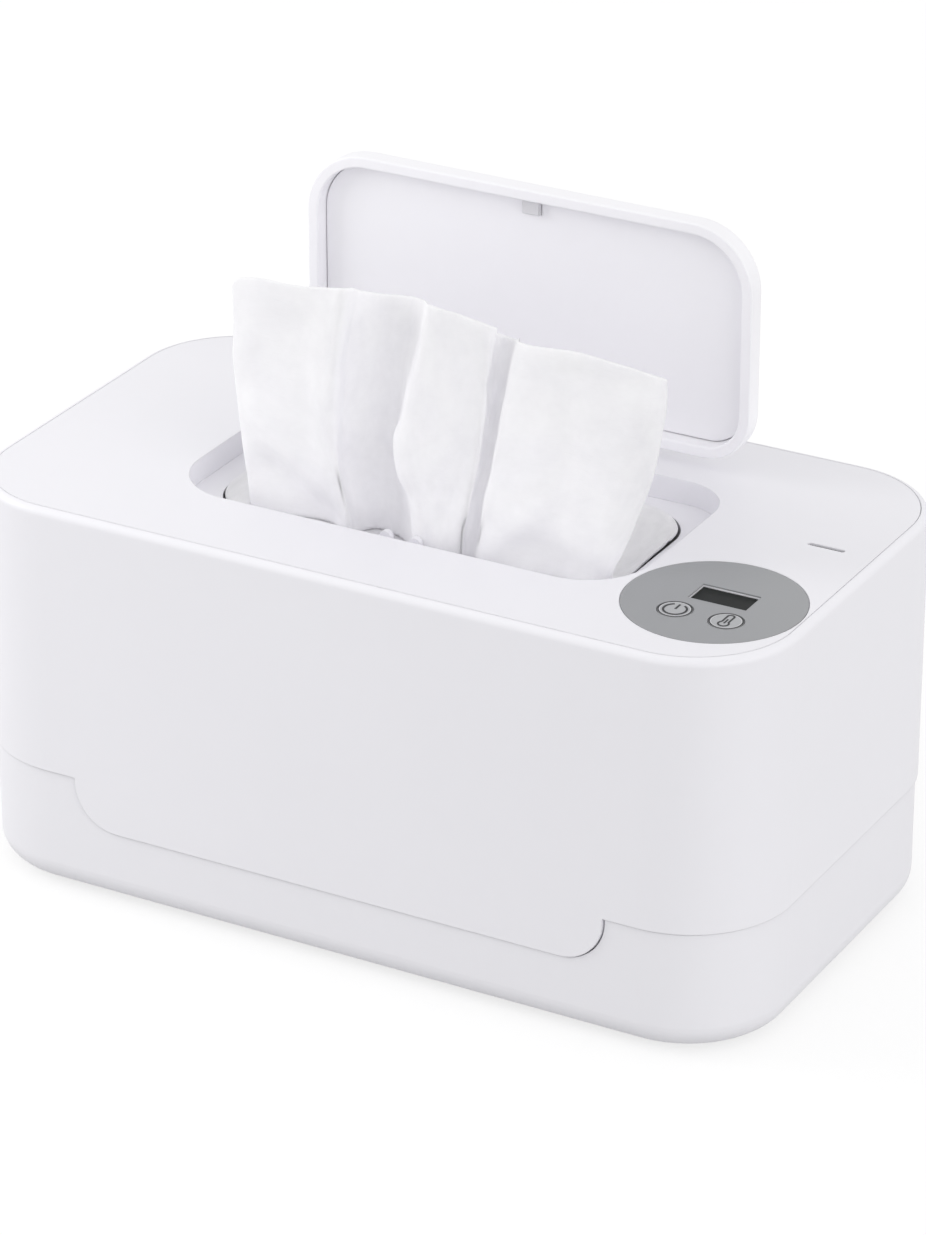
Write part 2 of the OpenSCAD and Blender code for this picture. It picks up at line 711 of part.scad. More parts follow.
// Inner panel within the rim, notched for the catch
module lid_liner() color(white) opened() difference() {
    translate([0, 0, body_h - lid_plate - liner_t]) linear_extrude(liner_t)
        lid_plan(-rim_w - liner_gap);
    gap = 0.15;
    notch = catch_l / 2 + gap;
    translate([-notch, lid_y0, lid_z]) cube([2 * notch, catch_y + catch_w + gap - lid_y0, lid_t]);
}

// Small block behind the lid's front rim that the two fingers grip, with its long edges rounded
module lid_catch() color(white) opened() {
    r = 0.4;
    translate([-catch_l / 2, catch_y, body_h - lid_plate - catch_h])
        rotate([90, 0, 90]) linear_extrude(catch_l) {
            translate([0, r]) square([catch_w, catch_h - r]);
            translate([r, 0]) square([catch_w - 2 * r, catch_h]);
            for (x = [r, catch_w - r]) translate([x, r]) circle(r, $fn = 32);
        }
}

module hinge_pins() color([0.75, 0.76, 0.78]) for (s = [-1, 1])
    translate([s * pin_in, hinge_y, hinge_z]) rotate([0, s * 90, 0])
        cylinder(d = pin_d, h = pin_l - 0.5);

// Control panel

module control_overlay() color([0.63, 0.63, 0.64]) difference() {
    translate([panel_x, panel_y, body_h - film_t]) cylinder(r = panel_r, h = film_t);
    translate([display_x, display_y, body_h]) cube([display_l, display_w, 4], center = true);
    for (x = button_x) translate([x, button_y, body_h - 2])
        cylinder(d = button_d + 2 * button_gap, h = 4);
}

module display_window() color([0.12, 0.13, 0.14])
    translate([display_x, display_y, body_h - display_depth - 0.6])
        cube([display_l + 1.2, display_w + 1.2, 1.2], center = true);

module display_module() {
    module_z = board_z + board_t;
    color([0.1, 0.1, 0.1]) translate([display_x, display_y, module_z])
        translate([-display_l / 2 - 0.5, -display_w / 2 - 0.5, 0])
            cube([display_l + 1, display_w + 1, body_h - display_depth - 1.5 - module_z]);
}

// Button cap with a retaining flange under the cover and a foot on its switch
module button(x) color([0.63, 0.63, 0.64]) translate([x, button_y, 0]) {
    translate([0, 0, flange_z - flange_t]) cylinder(d = button_d + 2 * flange_more, h = flange_t);
    translate([0, 0, flange_z - flange_t]) cylinder(d = button_d, h = body_h - flange_z + flange_t);
}

module power_button() button(button_x[0]);
module temperature_button() button(button_x[1]);

// Moving stem of a switch, which the button rests on
module plunger(x) color([0.2, 0.2, 0.2]) translate([x, button_y, board_z + board_t + 1.4])
    cylinder(r = 1.4, h = flange_z - flange_t - board_z - board_t - 1.4, $fn = 32);

module power_plunger() plunger(button_x[0]);
module temperature_plunger() plunger(button_x[1]);

// Two switches; each has a hole that its stem sinks into
module tact_switches() color([0.15, 0.15, 0.16]) for (x = button_x)
    translate([x, button_y, board_z + board_t]) difference() {
        translate([-3, -3, 0]) cube([6, 6, flange_z - flange_t - board_z - board_t - button_travel - 0.1]);
        translate([0, 0, 1.1 - button_travel]) cylinder(r = 1.6, h = 4, $fn = 32);
    }

module control_board() color([0.12, 0.4, 0.25]) difference() {
    translate([board_x - board_l / 2, board_y - board_w / 2, board_z]) cube([board_l, board_w, board_t]);
    for (p = board_at) translate(p) translate([0, 0, board_z - bite]) cylinder(r = 1.2, h = 5);
}

module board_screws() color([0.7, 0.7, 0.72]) for (p = board_at)
    translate(p) screw(board_z, 1.9, 1.3, 0.75, 5);

// Connectors and the larger components on the board's underside
module board_components() {
    color([0.92, 0.9, 0.84]) for (p = plug_at) translate(p) translate([-3.5, -3, 0])
        cube([7, 6, 4.6]);
    color([0.1, 0.1, 0.1]) translate([board_x - 5, board_y - 10, board_z - 1.6]) cube([10, 8, 1.6]);
    color([0.2, 0.25, 0.5]) translate([board_x + 10, board_y - 8, board_z - 7]) cylinder(r = 3.2, h = 7);
    color([0.1, 0.1, 0.1]) translate([board_x - 14, board_y - 6, board_z - 3]) cube([6, 9, 3]);
}

// Indicator

module indicator_lens() color([0.2, 0.2, 0.22]) translate([slot_x, slot_y, 0]) {
    stadium(slot_l - 0.3, slot_w - 0.3, body_h - 1.4, body_h - 0.5);
    stadium(slot_l + 2.6, slot_w + 2.6, body_h - 2.4, body_h - 1.3);
}

module indicator_lamp() translate([slot_x, slot_y, 0]) {
    color([0.12, 0.4, 0.25]) difference() {
        translate([-lamp_l / 2, -lamp_w / 2, body_h - 7]) cube([lamp_l, lamp_w, 1]);
        for (s = [-1, 1]) translate([s * (lamp_l / 2 - 1.8), 0, body_h - 8]) cylinder(r = 1, h = 3);
    }
    color([0.95, 0.95, 0.9]) translate([-1.8, -1.5, body_h - 6.05]) cube([3.6, 3, 2]);
}

// Power socket

module power_socket() color([0.13, 0.13, 0.14]) socket_place() {
    difference() {
        union() {
            cylinder(r = flange_r, h = 1.2);
            cylinder(d = socket_d, h = 17);
        }
        translate([0, 0, -bite]) cylinder(d = socket_bore, h = 10 + bite);
    }
    translate([0, 0, 1.4]) cylinder(r = 1, h = 9, $fn = 32);
    for (s = [-1, 1]) translate([s * 2.6 - 0.9, -0.3, 16.9]) cube([1.8, 0.6, 4]);
}

module socket_nut() color([0.78, 0.78, 0.8]) socket_place() translate([0, 0, wall + 2]) difference() {
    cylinder(d = socket_d + 4.6, h = 2.4, $fn = 6);
    translate([0, 0, -bite]) cylinder(r = socket_d / 2 + 0.08, h = 5);
}

// Leads inside the housing

module power_leads() for (s = [-1, 1]) color(s < 0 ? [0.15, 0.15, 0.15] : [0.75, 0.1, 0.1])
    wire([
        [socket_x + 2.6 * s, socket_back, socket_z],
        [socket_x + 2.6 * s, socket_back - 6, socket_z - 0.5],
        [socket_x + 2 * s, socket_back - 16, socket_z - 4.5],
        [plug_at[2][0] + 1.6 * s, board_y + 26, board_z - 2.6],
        [plug_at[2][0] + 1.6 * s, board_y + 20, board_z - 2.4],
        [plug_at[2][0] + 1.6 * s, board_y + 17.1, board_z - 2.4]
    ], 0.8);

module heater_leads() for (s = [-1, 1]) color([0.8, 0.8, 0.8])
    wire([
        grommet_at + [1.3 * s, 1.2, foil_z + foil_t + 0.1],
        grommet_at + [1.3 * s, 1.2, inner_z - 0.5],
        grommet_at + [1.3 * s, 1.2, inner_z + inner_t],
        grommet_at + [1.3 * s + 1.5, -1, inner_z + inner_t + 3],
        [plug_at[1][0] + 1.6 * s - 1, board_y + 24, board_z - 2.8],
        [plug_at[1][0] + 1.6 * s, board_y + 20, board_z - 2.4],
        [plug_at[1][0] + 1.6 * s, board_y + 17.1, board_z - 2.4]
    ], 0.7);

module sensor_leads() for (s = [-1, 1]) color([0.85, 0.85, 0.2])
    wire([
        sensor_at + [0.6 * s, 4.1, foil_z + foil_t + 1.3],
        sensor_at + [0.7 * s, 8, foil_z + foil_t + 1.3],
        sensor_at + [0.8 * s, 14, foil_z + foil_t + 1.4],
        grommet_at + [0.8 * s, -2, inner_z],
        grommet_at + [0.8 * s, -2.4, inner_z + inner_t + 0.5],
        grommet_at + [0.8 * s + 1, -6, inner_z + inner_t + 4.5],
        [plug_at[0][0] + 1.2 * s, board_y + 21, board_z - 2.6],
        [plug_at[0][0] + 1.2 * s, board_y + 17.1, board_z - 2.4]
    ], 0.45);

// Wipes

module wipe_stack() color([0.95, 0.95, 0.96]) translate([0, 0, floor_z])
    linear_extrude(stack_h) plan(stack_l, stack_w, 6);

// A pleated sheet: its plan at the bottom, in the opening and at the top is joined by eased lines
module raised_wipe() color([0.96, 0.96, 0.97]) {
    rows = 8;
    top = route([for (c = crest) [c[0] * hole_l / 2, hole_y0 + c[1], wipe_top - c[2]]], 3);
    middle = route([for (w = waist) [w[0] * hole_l / 2, hole_y0 + w[1], waist_z]], 3);
    low = [for (m = middle) [m[0] * 0.86, m[1] * 0.7, cloth_z]];
    n = len(top);
    columns = [for (i = [0:n - 1]) route([low[i], middle[i], top[i]], rows / 2)];
    grid = [for (j = [0:rows]) [for (i = [0:n - 1]) columns[i][j]]];
    across = [for (i = [0:n - 1]) let (d = middle[min(i + 1, n - 1)] - middle[max(i - 1, 0)])
        unit([-d[1], d[0], 0]) * cloth_t / 2];
    front = [for (r = grid) [for (i = [0:n - 1]) r[i] - across[i]]];
    back = [for (r = grid) [for (i = [0:n - 1]) r[i] + across[i]]];
    size = n * (rows + 1);
    polyhedron(
        points = concat([for (r = front) each r], [for (r = back) each r]),
        faces = concat(
            [for (j = [0:rows - 1], i = [0:n - 2]) each [
                [j * n + i, (j + 1) * n + i, (j + 1) * n + i + 1],
                [j * n + i, (j + 1) * n + i + 1, j * n + i + 1]]],
            [for (j = [0:rows - 1], i = [0:n - 2]) each [
                [size + j * n + i, size + (j + 1) * n + i + 1, size + (j + 1) * n + i],
                [size + j * n + i, size + j * n + i + 1, size + (j + 1) * n + i + 1]]],
            [for (i = [0:n - 2]) each [
                [i, i + 1, size + i + 1], [i, size + i + 1, size + i]]],
            [for (i = [0:n - 2]) let (a = rows * n + i) each [
                [a, size + a + 1, a + 1], [a, size + a, size + a + 1]]],
            [for (j = [0:rows - 1]) let (a = j * n, b = (j + 1) * n) each [
                [a, size + b, b], [a, size + a, size + b]]],
            [for (j = [0:rows - 1]) let (a = j * n + n - 1, b = (j + 1) * n + n - 1) each [
                [a, b, size + b], [a, size + b, size + a]]]
        )
    );
}

base_tray();
rubber_feet();
sleeve();
top_cover();
opening_frame();
inner_cover();
cover_screws();
heater_plate();
heating_film();
insulation_pad();
heater_screws();
thermal_cutout();
temperature_sensor();
lid_shell();
lid_liner();
lid_catch();
hinge_pins();
control_overlay();
display_window();
display_module();
power_button();
temperature_button();
power_plunger();
temperature_plunger();
tact_switches();
control_board();
board_components();
board_screws();
indicator_lens();
indicator_lamp();
power_socket();
socket_nut();
power_leads();
heater_leads();
sensor_leads();
wipe_stack();
raised_wipe();
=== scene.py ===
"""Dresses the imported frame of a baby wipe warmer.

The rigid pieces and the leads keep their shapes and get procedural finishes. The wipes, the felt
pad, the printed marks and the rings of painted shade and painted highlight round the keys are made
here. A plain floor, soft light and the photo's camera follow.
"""

import json
import logging
import math
from collections.abc import Callable
from dataclasses import dataclass
from enum import Enum
from functools import lru_cache

import bmesh
import bpy
from mathutils import Matrix, Vector, noise

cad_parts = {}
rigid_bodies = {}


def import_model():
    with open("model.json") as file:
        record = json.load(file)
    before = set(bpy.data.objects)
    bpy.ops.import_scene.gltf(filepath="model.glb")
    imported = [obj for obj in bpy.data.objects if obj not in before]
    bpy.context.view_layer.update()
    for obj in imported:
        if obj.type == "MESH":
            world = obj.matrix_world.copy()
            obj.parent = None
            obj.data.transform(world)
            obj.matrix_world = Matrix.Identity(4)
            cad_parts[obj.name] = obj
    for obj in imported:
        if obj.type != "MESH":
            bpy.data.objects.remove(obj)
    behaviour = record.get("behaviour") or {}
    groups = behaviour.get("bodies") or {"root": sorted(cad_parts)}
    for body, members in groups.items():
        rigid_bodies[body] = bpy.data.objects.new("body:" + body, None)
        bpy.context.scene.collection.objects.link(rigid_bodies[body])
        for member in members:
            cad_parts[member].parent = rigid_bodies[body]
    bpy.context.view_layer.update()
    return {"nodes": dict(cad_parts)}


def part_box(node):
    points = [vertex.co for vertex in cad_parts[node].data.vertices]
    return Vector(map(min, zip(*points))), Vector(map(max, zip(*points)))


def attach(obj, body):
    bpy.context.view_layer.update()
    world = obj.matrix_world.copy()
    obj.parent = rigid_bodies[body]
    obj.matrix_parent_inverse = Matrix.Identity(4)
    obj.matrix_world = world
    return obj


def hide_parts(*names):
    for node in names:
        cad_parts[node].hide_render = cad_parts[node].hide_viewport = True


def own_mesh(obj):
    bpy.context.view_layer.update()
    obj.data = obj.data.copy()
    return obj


for _leftover in list(bpy.data.objects):
    bpy.data.objects.remove(_leftover)
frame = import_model()

log = logging.getLogger("wipe_warmer")

Colour = tuple[float, float, float]
Point = tuple[float, float, float]
Socket = bpy.types.NodeSocket
Node = bpy.types.Node
Mesh = bmesh.types.BMesh

MM = 0.001
WHITE = (1.0, 1.0, 1.0, 1.0)
ORIGIN = (0.0, 0.0, 0.0)
BEVEL_SAMPLES = 6


class Body(Enum):
    """The moving bodies of the frame."""

    BASE = "base"
    HOUSING = "housing"
    LID = "lid"
    POWER_KEY = "power_key"
    TEMPERATURE_KEY = "temperature_key"


class Coordinates(Enum):
    """What a pattern is laid out on."""

    OBJECT = "Object"
    UV = "UV"


# Shader wiring


class Wiring:
    """Adds nodes to one shader tree and joins their sockets."""

    def __init__(self, tree: bpy.types.NodeTree) -> None:
        """Takes the tree that the nodes go into."""
        self.tree = tree

    def add(self, kind: str, feeds: dict[str | int, object] | None = None,
            **settings: object) -> Node:
        """Adds a node.

        Args:
            kind: Blender's name of the node type.
            feeds: values or sockets for its inputs, by name or number.
            settings: attributes of the node itself.

        Returns:
            The new node.
        """
        node = self.tree.nodes.new(kind)
        for key, value in settings.items():
            setattr(node, key, value)
        self.feed_all(node, feeds or {})
        return node

    def feed_all(self, node: Node, feeds: dict[str | int, object]) -> None:
        """Feeds several inputs of a node, by name or number."""
        for key, value in feeds.items():
            self.feed(node.inputs[key], value)

    def feed(self, target: Socket, value: object) -> None:
        """Joins a socket to an input, or sets the input's own value."""
        if isinstance(value, bpy.types.NodeSocket):
            self.tree.links.new(value, target)
        else:
            target.default_value = value

    def maths(self, operation: str, first: object, second: object = 0.0, clamp: bool = False) -> Socket:
        """Adds a math node and returns its result."""
        node = self.add("ShaderNodeMath", {0: first, 1: second}, operation=operation, use_clamp=clamp)
        return node.outputs[0]

    def spread(self, value: Socket, low: object, high: object, start: float = 0.0,
               end: float = 1.0) -> Socket:
        """Maps a value from start..end to low..high and returns it."""
        feeds = {"Value": value, "From Min": start, "From Max": end, "To Min": low, "To Max": high}
        return self.add("ShaderNodeMapRange", feeds).outputs["Result"]

    def scaled(self, colour: object, factor: object) -> Socket:
        """Multiplies a colour by a number and returns it."""
        return self.add("ShaderNodeVectorMath", {0: colour, "Scale": factor}, operation="SCALE").outputs[0]

    def blend(self, mask: object, first: object, second: object) -> Socket:
        """Goes from the first colour to the second as the mask goes from 0 to 1."""
        return self.add("ShaderNodeMix", {0: mask, 6: first, 7: second}, data_type="RGBA").outputs[2]

    def turned(self, vector: Socket, angle: float, stretch: Point) -> Socket:
        """Turns a pattern's coordinates about Z by an angle in degrees and stretches them."""
        feeds = {"Vector": vector, "Rotation": (0.0, 0.0, math.radians(angle)), "Scale": stretch}
        return self.add("ShaderNodeMapping", feeds).outputs[0]

    def noise(self, vector: Socket, scale: object, detail: float = 2.0, roughness: float = 0.5) -> Socket:
        """Adds a noise texture and returns its value."""
        feeds = {"Vector": vector, "Scale": scale, "Detail": detail, "Roughness": roughness}
        return self.add("ShaderNodeTexNoise", feeds).outputs["Fac"]

    def cells(self, vector: Socket, scale: object, **settings: object) -> Node:
        """Adds a Voronoi texture and returns the node."""
        return self.add("ShaderNodeTexVoronoi", {"Vector": vector, "Scale": scale}, **settings)

    def coordinates(self, kind: Coordinates) -> Socket:
        """Returns the coordinates that a pattern is laid out on."""
        return self.add("ShaderNodeTexCoord").outputs[kind.value]

    def rounded(self, radius: float) -> Socket:
        """Returns the normal of a surface whose edges are rounded by a radius."""
        return self.add("ShaderNodeBevel", {"Radius": radius}, samples=BEVEL_SAMPLES).outputs[0]

    def roughen(self, shader: Node, height: Socket, depth: float, strength: float = 0.5,
                normal: Socket | None = None) -> None:
        """Gives a shader's surface a relief.

        Args:
            shader: the shader.
            height: the relief's height, from 0 to 1.
            depth: how deep it goes.
            strength: how much of it tells.
            normal: the normal that it starts from, if not the surface's own.
        """
        bump = self.add("ShaderNodeBump", {"Strength": strength, "Distance": depth, "Height": height})
        if normal is not None:
            self.feed(bump.inputs["Normal"], normal)
        self.feed(shader.inputs["Normal"], bump.outputs[0])


class GroupBuilder:
    """Makes one shared shader group, with named inputs and outputs."""

    def __init__(self, name: str, takes: dict[str, object], gives: tuple[str, ...]) -> None:
        """Makes the group's tree and its sockets.

        Args:
            name: the group's name.
            takes: each input and its default; a colour or vector is a tuple.
            gives: the outputs; Colour is a colour and the rest are numbers.
        """
        self.tree = bpy.data.node_groups.new(name, "ShaderNodeTree")
        self.wiring = Wiring(self.tree)
        for label, default in takes.items():
            kind = "NodeSocketFloat"
            if isinstance(default, tuple):
                kind = "NodeSocketColor" if len(default) == 4 else "NodeSocketVector"
            socket = self.tree.interface.new_socket(name=label, in_out="INPUT", socket_type=kind)
            socket.default_value = default
        for label in gives:
            kind = "NodeSocketColor" if "Colour" in label else "NodeSocketFloat"
            self.tree.interface.new_socket(name=label, in_out="OUTPUT", socket_type=kind)
        self.source = self.wiring.add("NodeGroupInput")
        self.sink = self.wiring.add("NodeGroupOutput")

    def taken(self, label: str) -> Socket:
        """Returns one of the group's inputs."""
        return self.source.outputs[label]

    def give(self, label: str, value: object) -> None:
        """Feeds one of the group's outputs."""
        self.wiring.feed(self.sink.inputs[label], value)

    def give_roughness(self, uneven: Socket) -> None:
        """Feeds the Roughness output with the input of that name and its unevenness."""
        self.give("Roughness", self.wiring.maths("ADD", self.taken("Roughness"), uneven, clamp=True))


@lru_cache(maxsize=None)
def moulded_skin() -> bpy.types.NodeTree:
    """Fine grain, faint mottling and uneven gloss of a moulded or coated surface."""
    group = GroupBuilder(
        "moulded_skin",
        {"Position": ORIGIN, "Colour": (0.8, 0.8, 0.8, 1.0), "Mottle": 0.02, "Grain": 1500.0,
         "Roughness": 0.4, "Unevenness": 0.08},
        ("Colour", "Roughness", "Height"),
    )
    w = group.wiring
    place, grain = group.taken("Position"), group.taken("Grain")
    broad = w.noise(place, 22.0, 3.0)
    handled = w.noise(place, 130.0, 4.0, 0.62)
    shade = w.maths("MULTIPLY", w.maths("SUBTRACT", broad, 0.5), group.taken("Mottle"))
    touched = w.maths("SUBTRACT", handled, 0.5)
    speck = w.maths("MULTIPLY", touched, w.maths("MULTIPLY", group.taken("Mottle"), 0.6))
    group.give("Colour", w.scaled(group.taken("Colour"), w.maths("ADD", 1.0, w.maths("ADD", shade, speck))))
    group.give_roughness(w.maths("MULTIPLY", touched, group.taken("Unevenness")))
    fine = w.noise(place, grain, 2.0, 0.6)
    pits = w.cells(place, w.maths("MULTIPLY", grain, 0.62), feature="SMOOTH_F1").outputs["Distance"]
    group.give("Height", w.maths("ADD", w.maths("MULTIPLY", fine, 0.65), w.maths("MULTIPLY", pits, 0.35)))
    return group.tree


@lru_cache(maxsize=None)
def lit_and_worn_edges() -> bpy.types.NodeTree:
    """Marks the edges that a rounded normal finds, broken up as handling does it. On dark parts and metal
    the mark is wear; on the white mouldings, whose edge colour is lighter, it is a painted highlight.
    """
    group = GroupBuilder(
        "lit_and_worn_edges", {"Position": ORIGIN, "Rounded": (0.0, 0.0, 1.0), "Strength": 1.0}, ("Mask",))
    w = group.wiring
    flat = w.add("ShaderNodeNewGeometry").outputs["True Normal"]
    dot = w.add("ShaderNodeVectorMath", {0: group.taken("Rounded"), 1: flat}, operation="DOT_PRODUCT")
    edge = w.spread(dot.outputs["Value"], 1.0, 0.0, 0.86, 0.998)
    broken = w.spread(w.noise(group.taken("Position"), 260.0, 3.0), 0.45, 1.0, 0.3, 0.62)
    worn_and_lit = w.maths("MULTIPLY", edge, broken)
    group.give("Mask", w.maths("MULTIPLY", worn_and_lit, group.taken("Strength"), clamp=True))
    return group.tree


@lru_cache(maxsize=None)
def laid_fibres() -> bpy.types.NodeTree:
    """Fibres laid across each other in every direction, as in a soft non-woven."""
    group = GroupBuilder(
        "laid_fibres",
        {"Place": ORIGIN, "Colour": (0.9, 0.9, 0.9, 1.0), "Fibres": 900.0, "Shade": 0.06, "Cloud": 0.0},
        ("Colour", "Height", "Thickness"),
    )
    w = group.wiring
    place, scale = group.taken("Place"), group.taken("Fibres")
    layers: Socket | None = None
    for angle in (8.0, 52.0, 97.0, 148.0):
        strand = w.noise(w.turned(place, angle, (1.0, 9.0, 1.0)), w.maths("MULTIPLY", scale, 0.14), 3.0, 0.6)
        ridge = w.spread(w.maths("ABSOLUTE", w.maths("SUBTRACT", strand, 0.5)), 1.0, 0.0, 0.0, 0.09)
        layers = ridge if layers is None else w.maths("MAXIMUM", layers, ridge)
    cloud = w.noise(place, w.maths("MULTIPLY", scale, 0.22), 4.0, 0.6)
    height = w.maths("ADD", w.maths("MULTIPLY", layers, 0.5), w.maths("MULTIPLY", cloud, 0.5))
    group.give("Height", height)
    group.give("Thickness", cloud)
    tone = w.maths("ADD", 1.0, w.maths("MULTIPLY", w.maths("SUBTRACT", height, 0.55), group.taken("Shade")))
    patchy = w.maths("SUBTRACT", w.noise(place, 75.0, 3.0, 0.55), 0.5)
    tone = w.maths("ADD", tone, w.maths("MULTIPLY", patchy, group.taken("Cloud")))
    group.give("Colour", w.scaled(group.taken("Colour"), tone))
    return group.tree


@lru_cache(maxsize=None)
def brushed_lines() -> bpy.types.NodeTree:
    """Fine lines of rolled or brushed metal, with a few darker patches."""
    group = GroupBuilder(
        "brushed_lines",
        {"Position": ORIGIN, "Colour": (0.6, 0.6, 0.62, 1.0), "Lines": 900.0, "Roughness": 0.3},
        ("Colour", "Roughness", "Height"),
    )
    w = group.wiring
    place = group.taken("Position")
    lines = w.noise(w.turned(place, 0.0, (0.04, 1.0, 1.0)), group.taken("Lines"), 3.0, 0.65)
    patch = w.noise(place, 60.0, 3.0)
    group.give("Colour", w.scaled(group.taken("Colour"), w.spread(patch, 0.82, 1.08)))
    group.give_roughness(w.spread(lines, -0.08, 0.12))
    group.give("Height", lines)
    return group.tree


@lru_cache(maxsize=None)
def box_mask() -> bpy.types.NodeTree:
    """1 inside an upright box, 0 outside it, to give a part of a piece another colour."""
    group = GroupBuilder(
        "box_mask", {"Position": ORIGIN, "Centre": ORIGIN, "Half": (0.1, 0.1, 0.1)}, ("Mask",))
    w = group.wiring
    away = w.add("ShaderNodeVectorMath", {0: group.taken("Position"), 1: group.taken("Centre")},
                 operation="SUBTRACT")
    size = w.add("ShaderNodeVectorMath", {0: away.outputs[0]}, operation="ABSOLUTE")
    apart = w.add("ShaderNodeSeparateXYZ", {0: size.outputs[0]})
    limit = w.add("ShaderNodeSeparateXYZ", {0: group.taken("Half")})
    mask: Socket | None = None
    for axis in "XYZ":
        inside = w.maths("LESS_THAN", apart.outputs[axis], limit.outputs[axis])
        mask = inside if mask is None else w.maths("MULTIPLY", mask, inside)
    group.give("Mask", mask)
    return group.tree


@lru_cache(maxsize=None)
def copper_tracks() -> bpy.types.NodeTree:
    """Square-cornered tracks under a coloured film, for circuit boards and heating films."""
    group = GroupBuilder(
        "copper_tracks",
        {"Position": ORIGIN, "Ground": (0.02, 0.15, 0.07, 1.0), "Track": (0.05, 0.25, 0.1, 1.0),
         "Pitch": 260.0, "Roughness": 0.35},
        ("Colour", "Roughness", "Height"),
    )
    w = group.wiring
    place = group.taken("Position")
    cell = w.cells(place, group.taken("Pitch"), feature="F1", distance="CHEBYCHEV")
    bands = w.maths("PINGPONG", w.maths("MULTIPLY", cell.outputs["Distance"], 6.0), 0.5)
    track = w.spread(bands, 0.0, 1.0, 0.18, 0.26)
    cloud = w.noise(place, 90.0, 3.0)
    colour = w.blend(track, group.taken("Ground"), group.taken("Track"))
    group.give("Colour", w.scaled(colour, w.spread(cloud, 0.85, 1.12)))
    group.give_roughness(w.spread(cloud, -0.06, 0.06))
    group.give("Height", track)
    return group.tree


# Finishes


@dataclass(frozen=True)
class Patch:
    """A box on a piece whose surface has another colour."""

    centre: Point
    half: Point
    colour: Colour
    metallic: float = 0.0


@dataclass(frozen=True)
class Moulded:
    """Moulded plastic, rubber or a coated film."""

    name: str
    colour: Colour
    roughness: float = 0.42
    mottle: float = 0.02
    grain: float = 1500.0
    depth: float = 0.012 * MM
    unevenness: float = 0.08
    specular: float = 0.5
    edge: float = 0.35 * MM
    wear_and_highlight: float = 0.3
    # Edge colour: on the white mouldings it is lighter than the body, a painted highlight along the edges;
    # on dark parts it is wear.
    worn_and_lit: Colour = (0.95, 0.95, 0.96)
    patches: tuple[Patch, ...] = ()

    @lru_cache(maxsize=None)
    def material(self) -> bpy.types.Material:
        """Makes the material, or returns it if it is there."""
        made, w, shader = new_material(self.name)
        place = w.coordinates(Coordinates.OBJECT)
        skin = w.add("ShaderNodeGroup", {
            "Position": place, "Colour": (*self.colour, 1.0), "Mottle": self.mottle, "Grain": self.grain,
            "Roughness": self.roughness, "Unevenness": self.unevenness}, node_tree=moulded_skin())
        rounded = w.rounded(self.edge)
        wear_and_highlight = w.add("ShaderNodeGroup", {"Position": place, "Rounded": rounded, "Strength": self.wear_and_highlight},
                     node_tree=lit_and_worn_edges())
        colour = w.blend(wear_and_highlight.outputs["Mask"], skin.outputs["Colour"], (*self.worn_and_lit, 1.0))
        metallic: object = 0.0
        for patch in self.patches:
            mask = w.add("ShaderNodeGroup", {"Position": place, "Centre": patch.centre, "Half": patch.half},
                         node_tree=box_mask()).outputs["Mask"]
            colour = w.blend(mask, colour, (*patch.colour, 1.0))
            if patch.metallic:
                metallic = w.maths("MULTIPLY", mask, patch.metallic)
        w.feed_all(shader, {"Base Color": colour, "Metallic": metallic, "Specular IOR Level": self.specular,
                            "Roughness": skin.outputs["Roughness"]})
        w.roughen(shader, skin.outputs["Height"], self.depth, 0.6, rounded)
        return made


@dataclass(frozen=True)
class Metal:
    """Rolled, plated or turned metal."""

    name: str
    colour: Colour
    roughness: float = 0.3
    lines: float = 900.0
    depth: float = 0.01 * MM
    edge: float = 0.12 * MM
    wear_and_highlight: float = 0.5
    worn_and_lit: Colour = (0.85, 0.85, 0.86)

    @lru_cache(maxsize=None)
    def material(self) -> bpy.types.Material:
        """Makes the material, or returns it if it is there."""
        made, w, shader = new_material(self.name)
        place = w.coordinates(Coordinates.OBJECT)
        rounded = w.rounded(self.edge)
        lines = w.add("ShaderNodeGroup", {"Position": place, "Colour": (*self.colour, 1.0),
                                          "Lines": self.lines, "Roughness": self.roughness},
                      node_tree=brushed_lines())
        wear_and_highlight = w.add("ShaderNodeGroup", {"Position": place, "Rounded": rounded, "Strength": self.wear_and_highlight},
                     node_tree=lit_and_worn_edges())
        colour = w.blend(wear_and_highlight.outputs["Mask"], lines.outputs["Colour"], (*self.worn_and_lit, 1.0))
        w.feed_all(shader, {"Base Color": colour, "Metallic": 1.0, "Roughness": lines.outputs["Roughness"]})
        w.roughen(shader, lines.outputs["Height"], self.depth, normal=rounded)
        return made


@dataclass(frozen=True)
class Tracked:
    """A board or film with tracks under its coating."""

    name: str
    ground: Colour
    track: Colour
    pitch: float
    roughness: float = 0.35
    coat: float = 0.25
    depth: float = 0.03 * MM

    @lru_cache(maxsize=None)
    def material(self) -> bpy.types.Material:
        """Makes the material, or returns it if it is there."""
        made, w, shader = new_material(self.name)
        place = w.coordinates(Coordinates.OBJECT)
        tracks = w.add("ShaderNodeGroup", {"Position": place, "Ground": (*self.ground, 1.0),
                                           "Track": (*self.track, 1.0), "Pitch": self.pitch,
                                           "Roughness": self.roughness}, node_tree=copper_tracks())
        w.feed_all(shader, {"Base Color": tracks.outputs["Colour"], "Roughness": tracks.outputs["Roughness"],
                            "Coat Weight": self.coat})
        w.roughen(shader, tracks.outputs["Height"], self.depth)
        return made


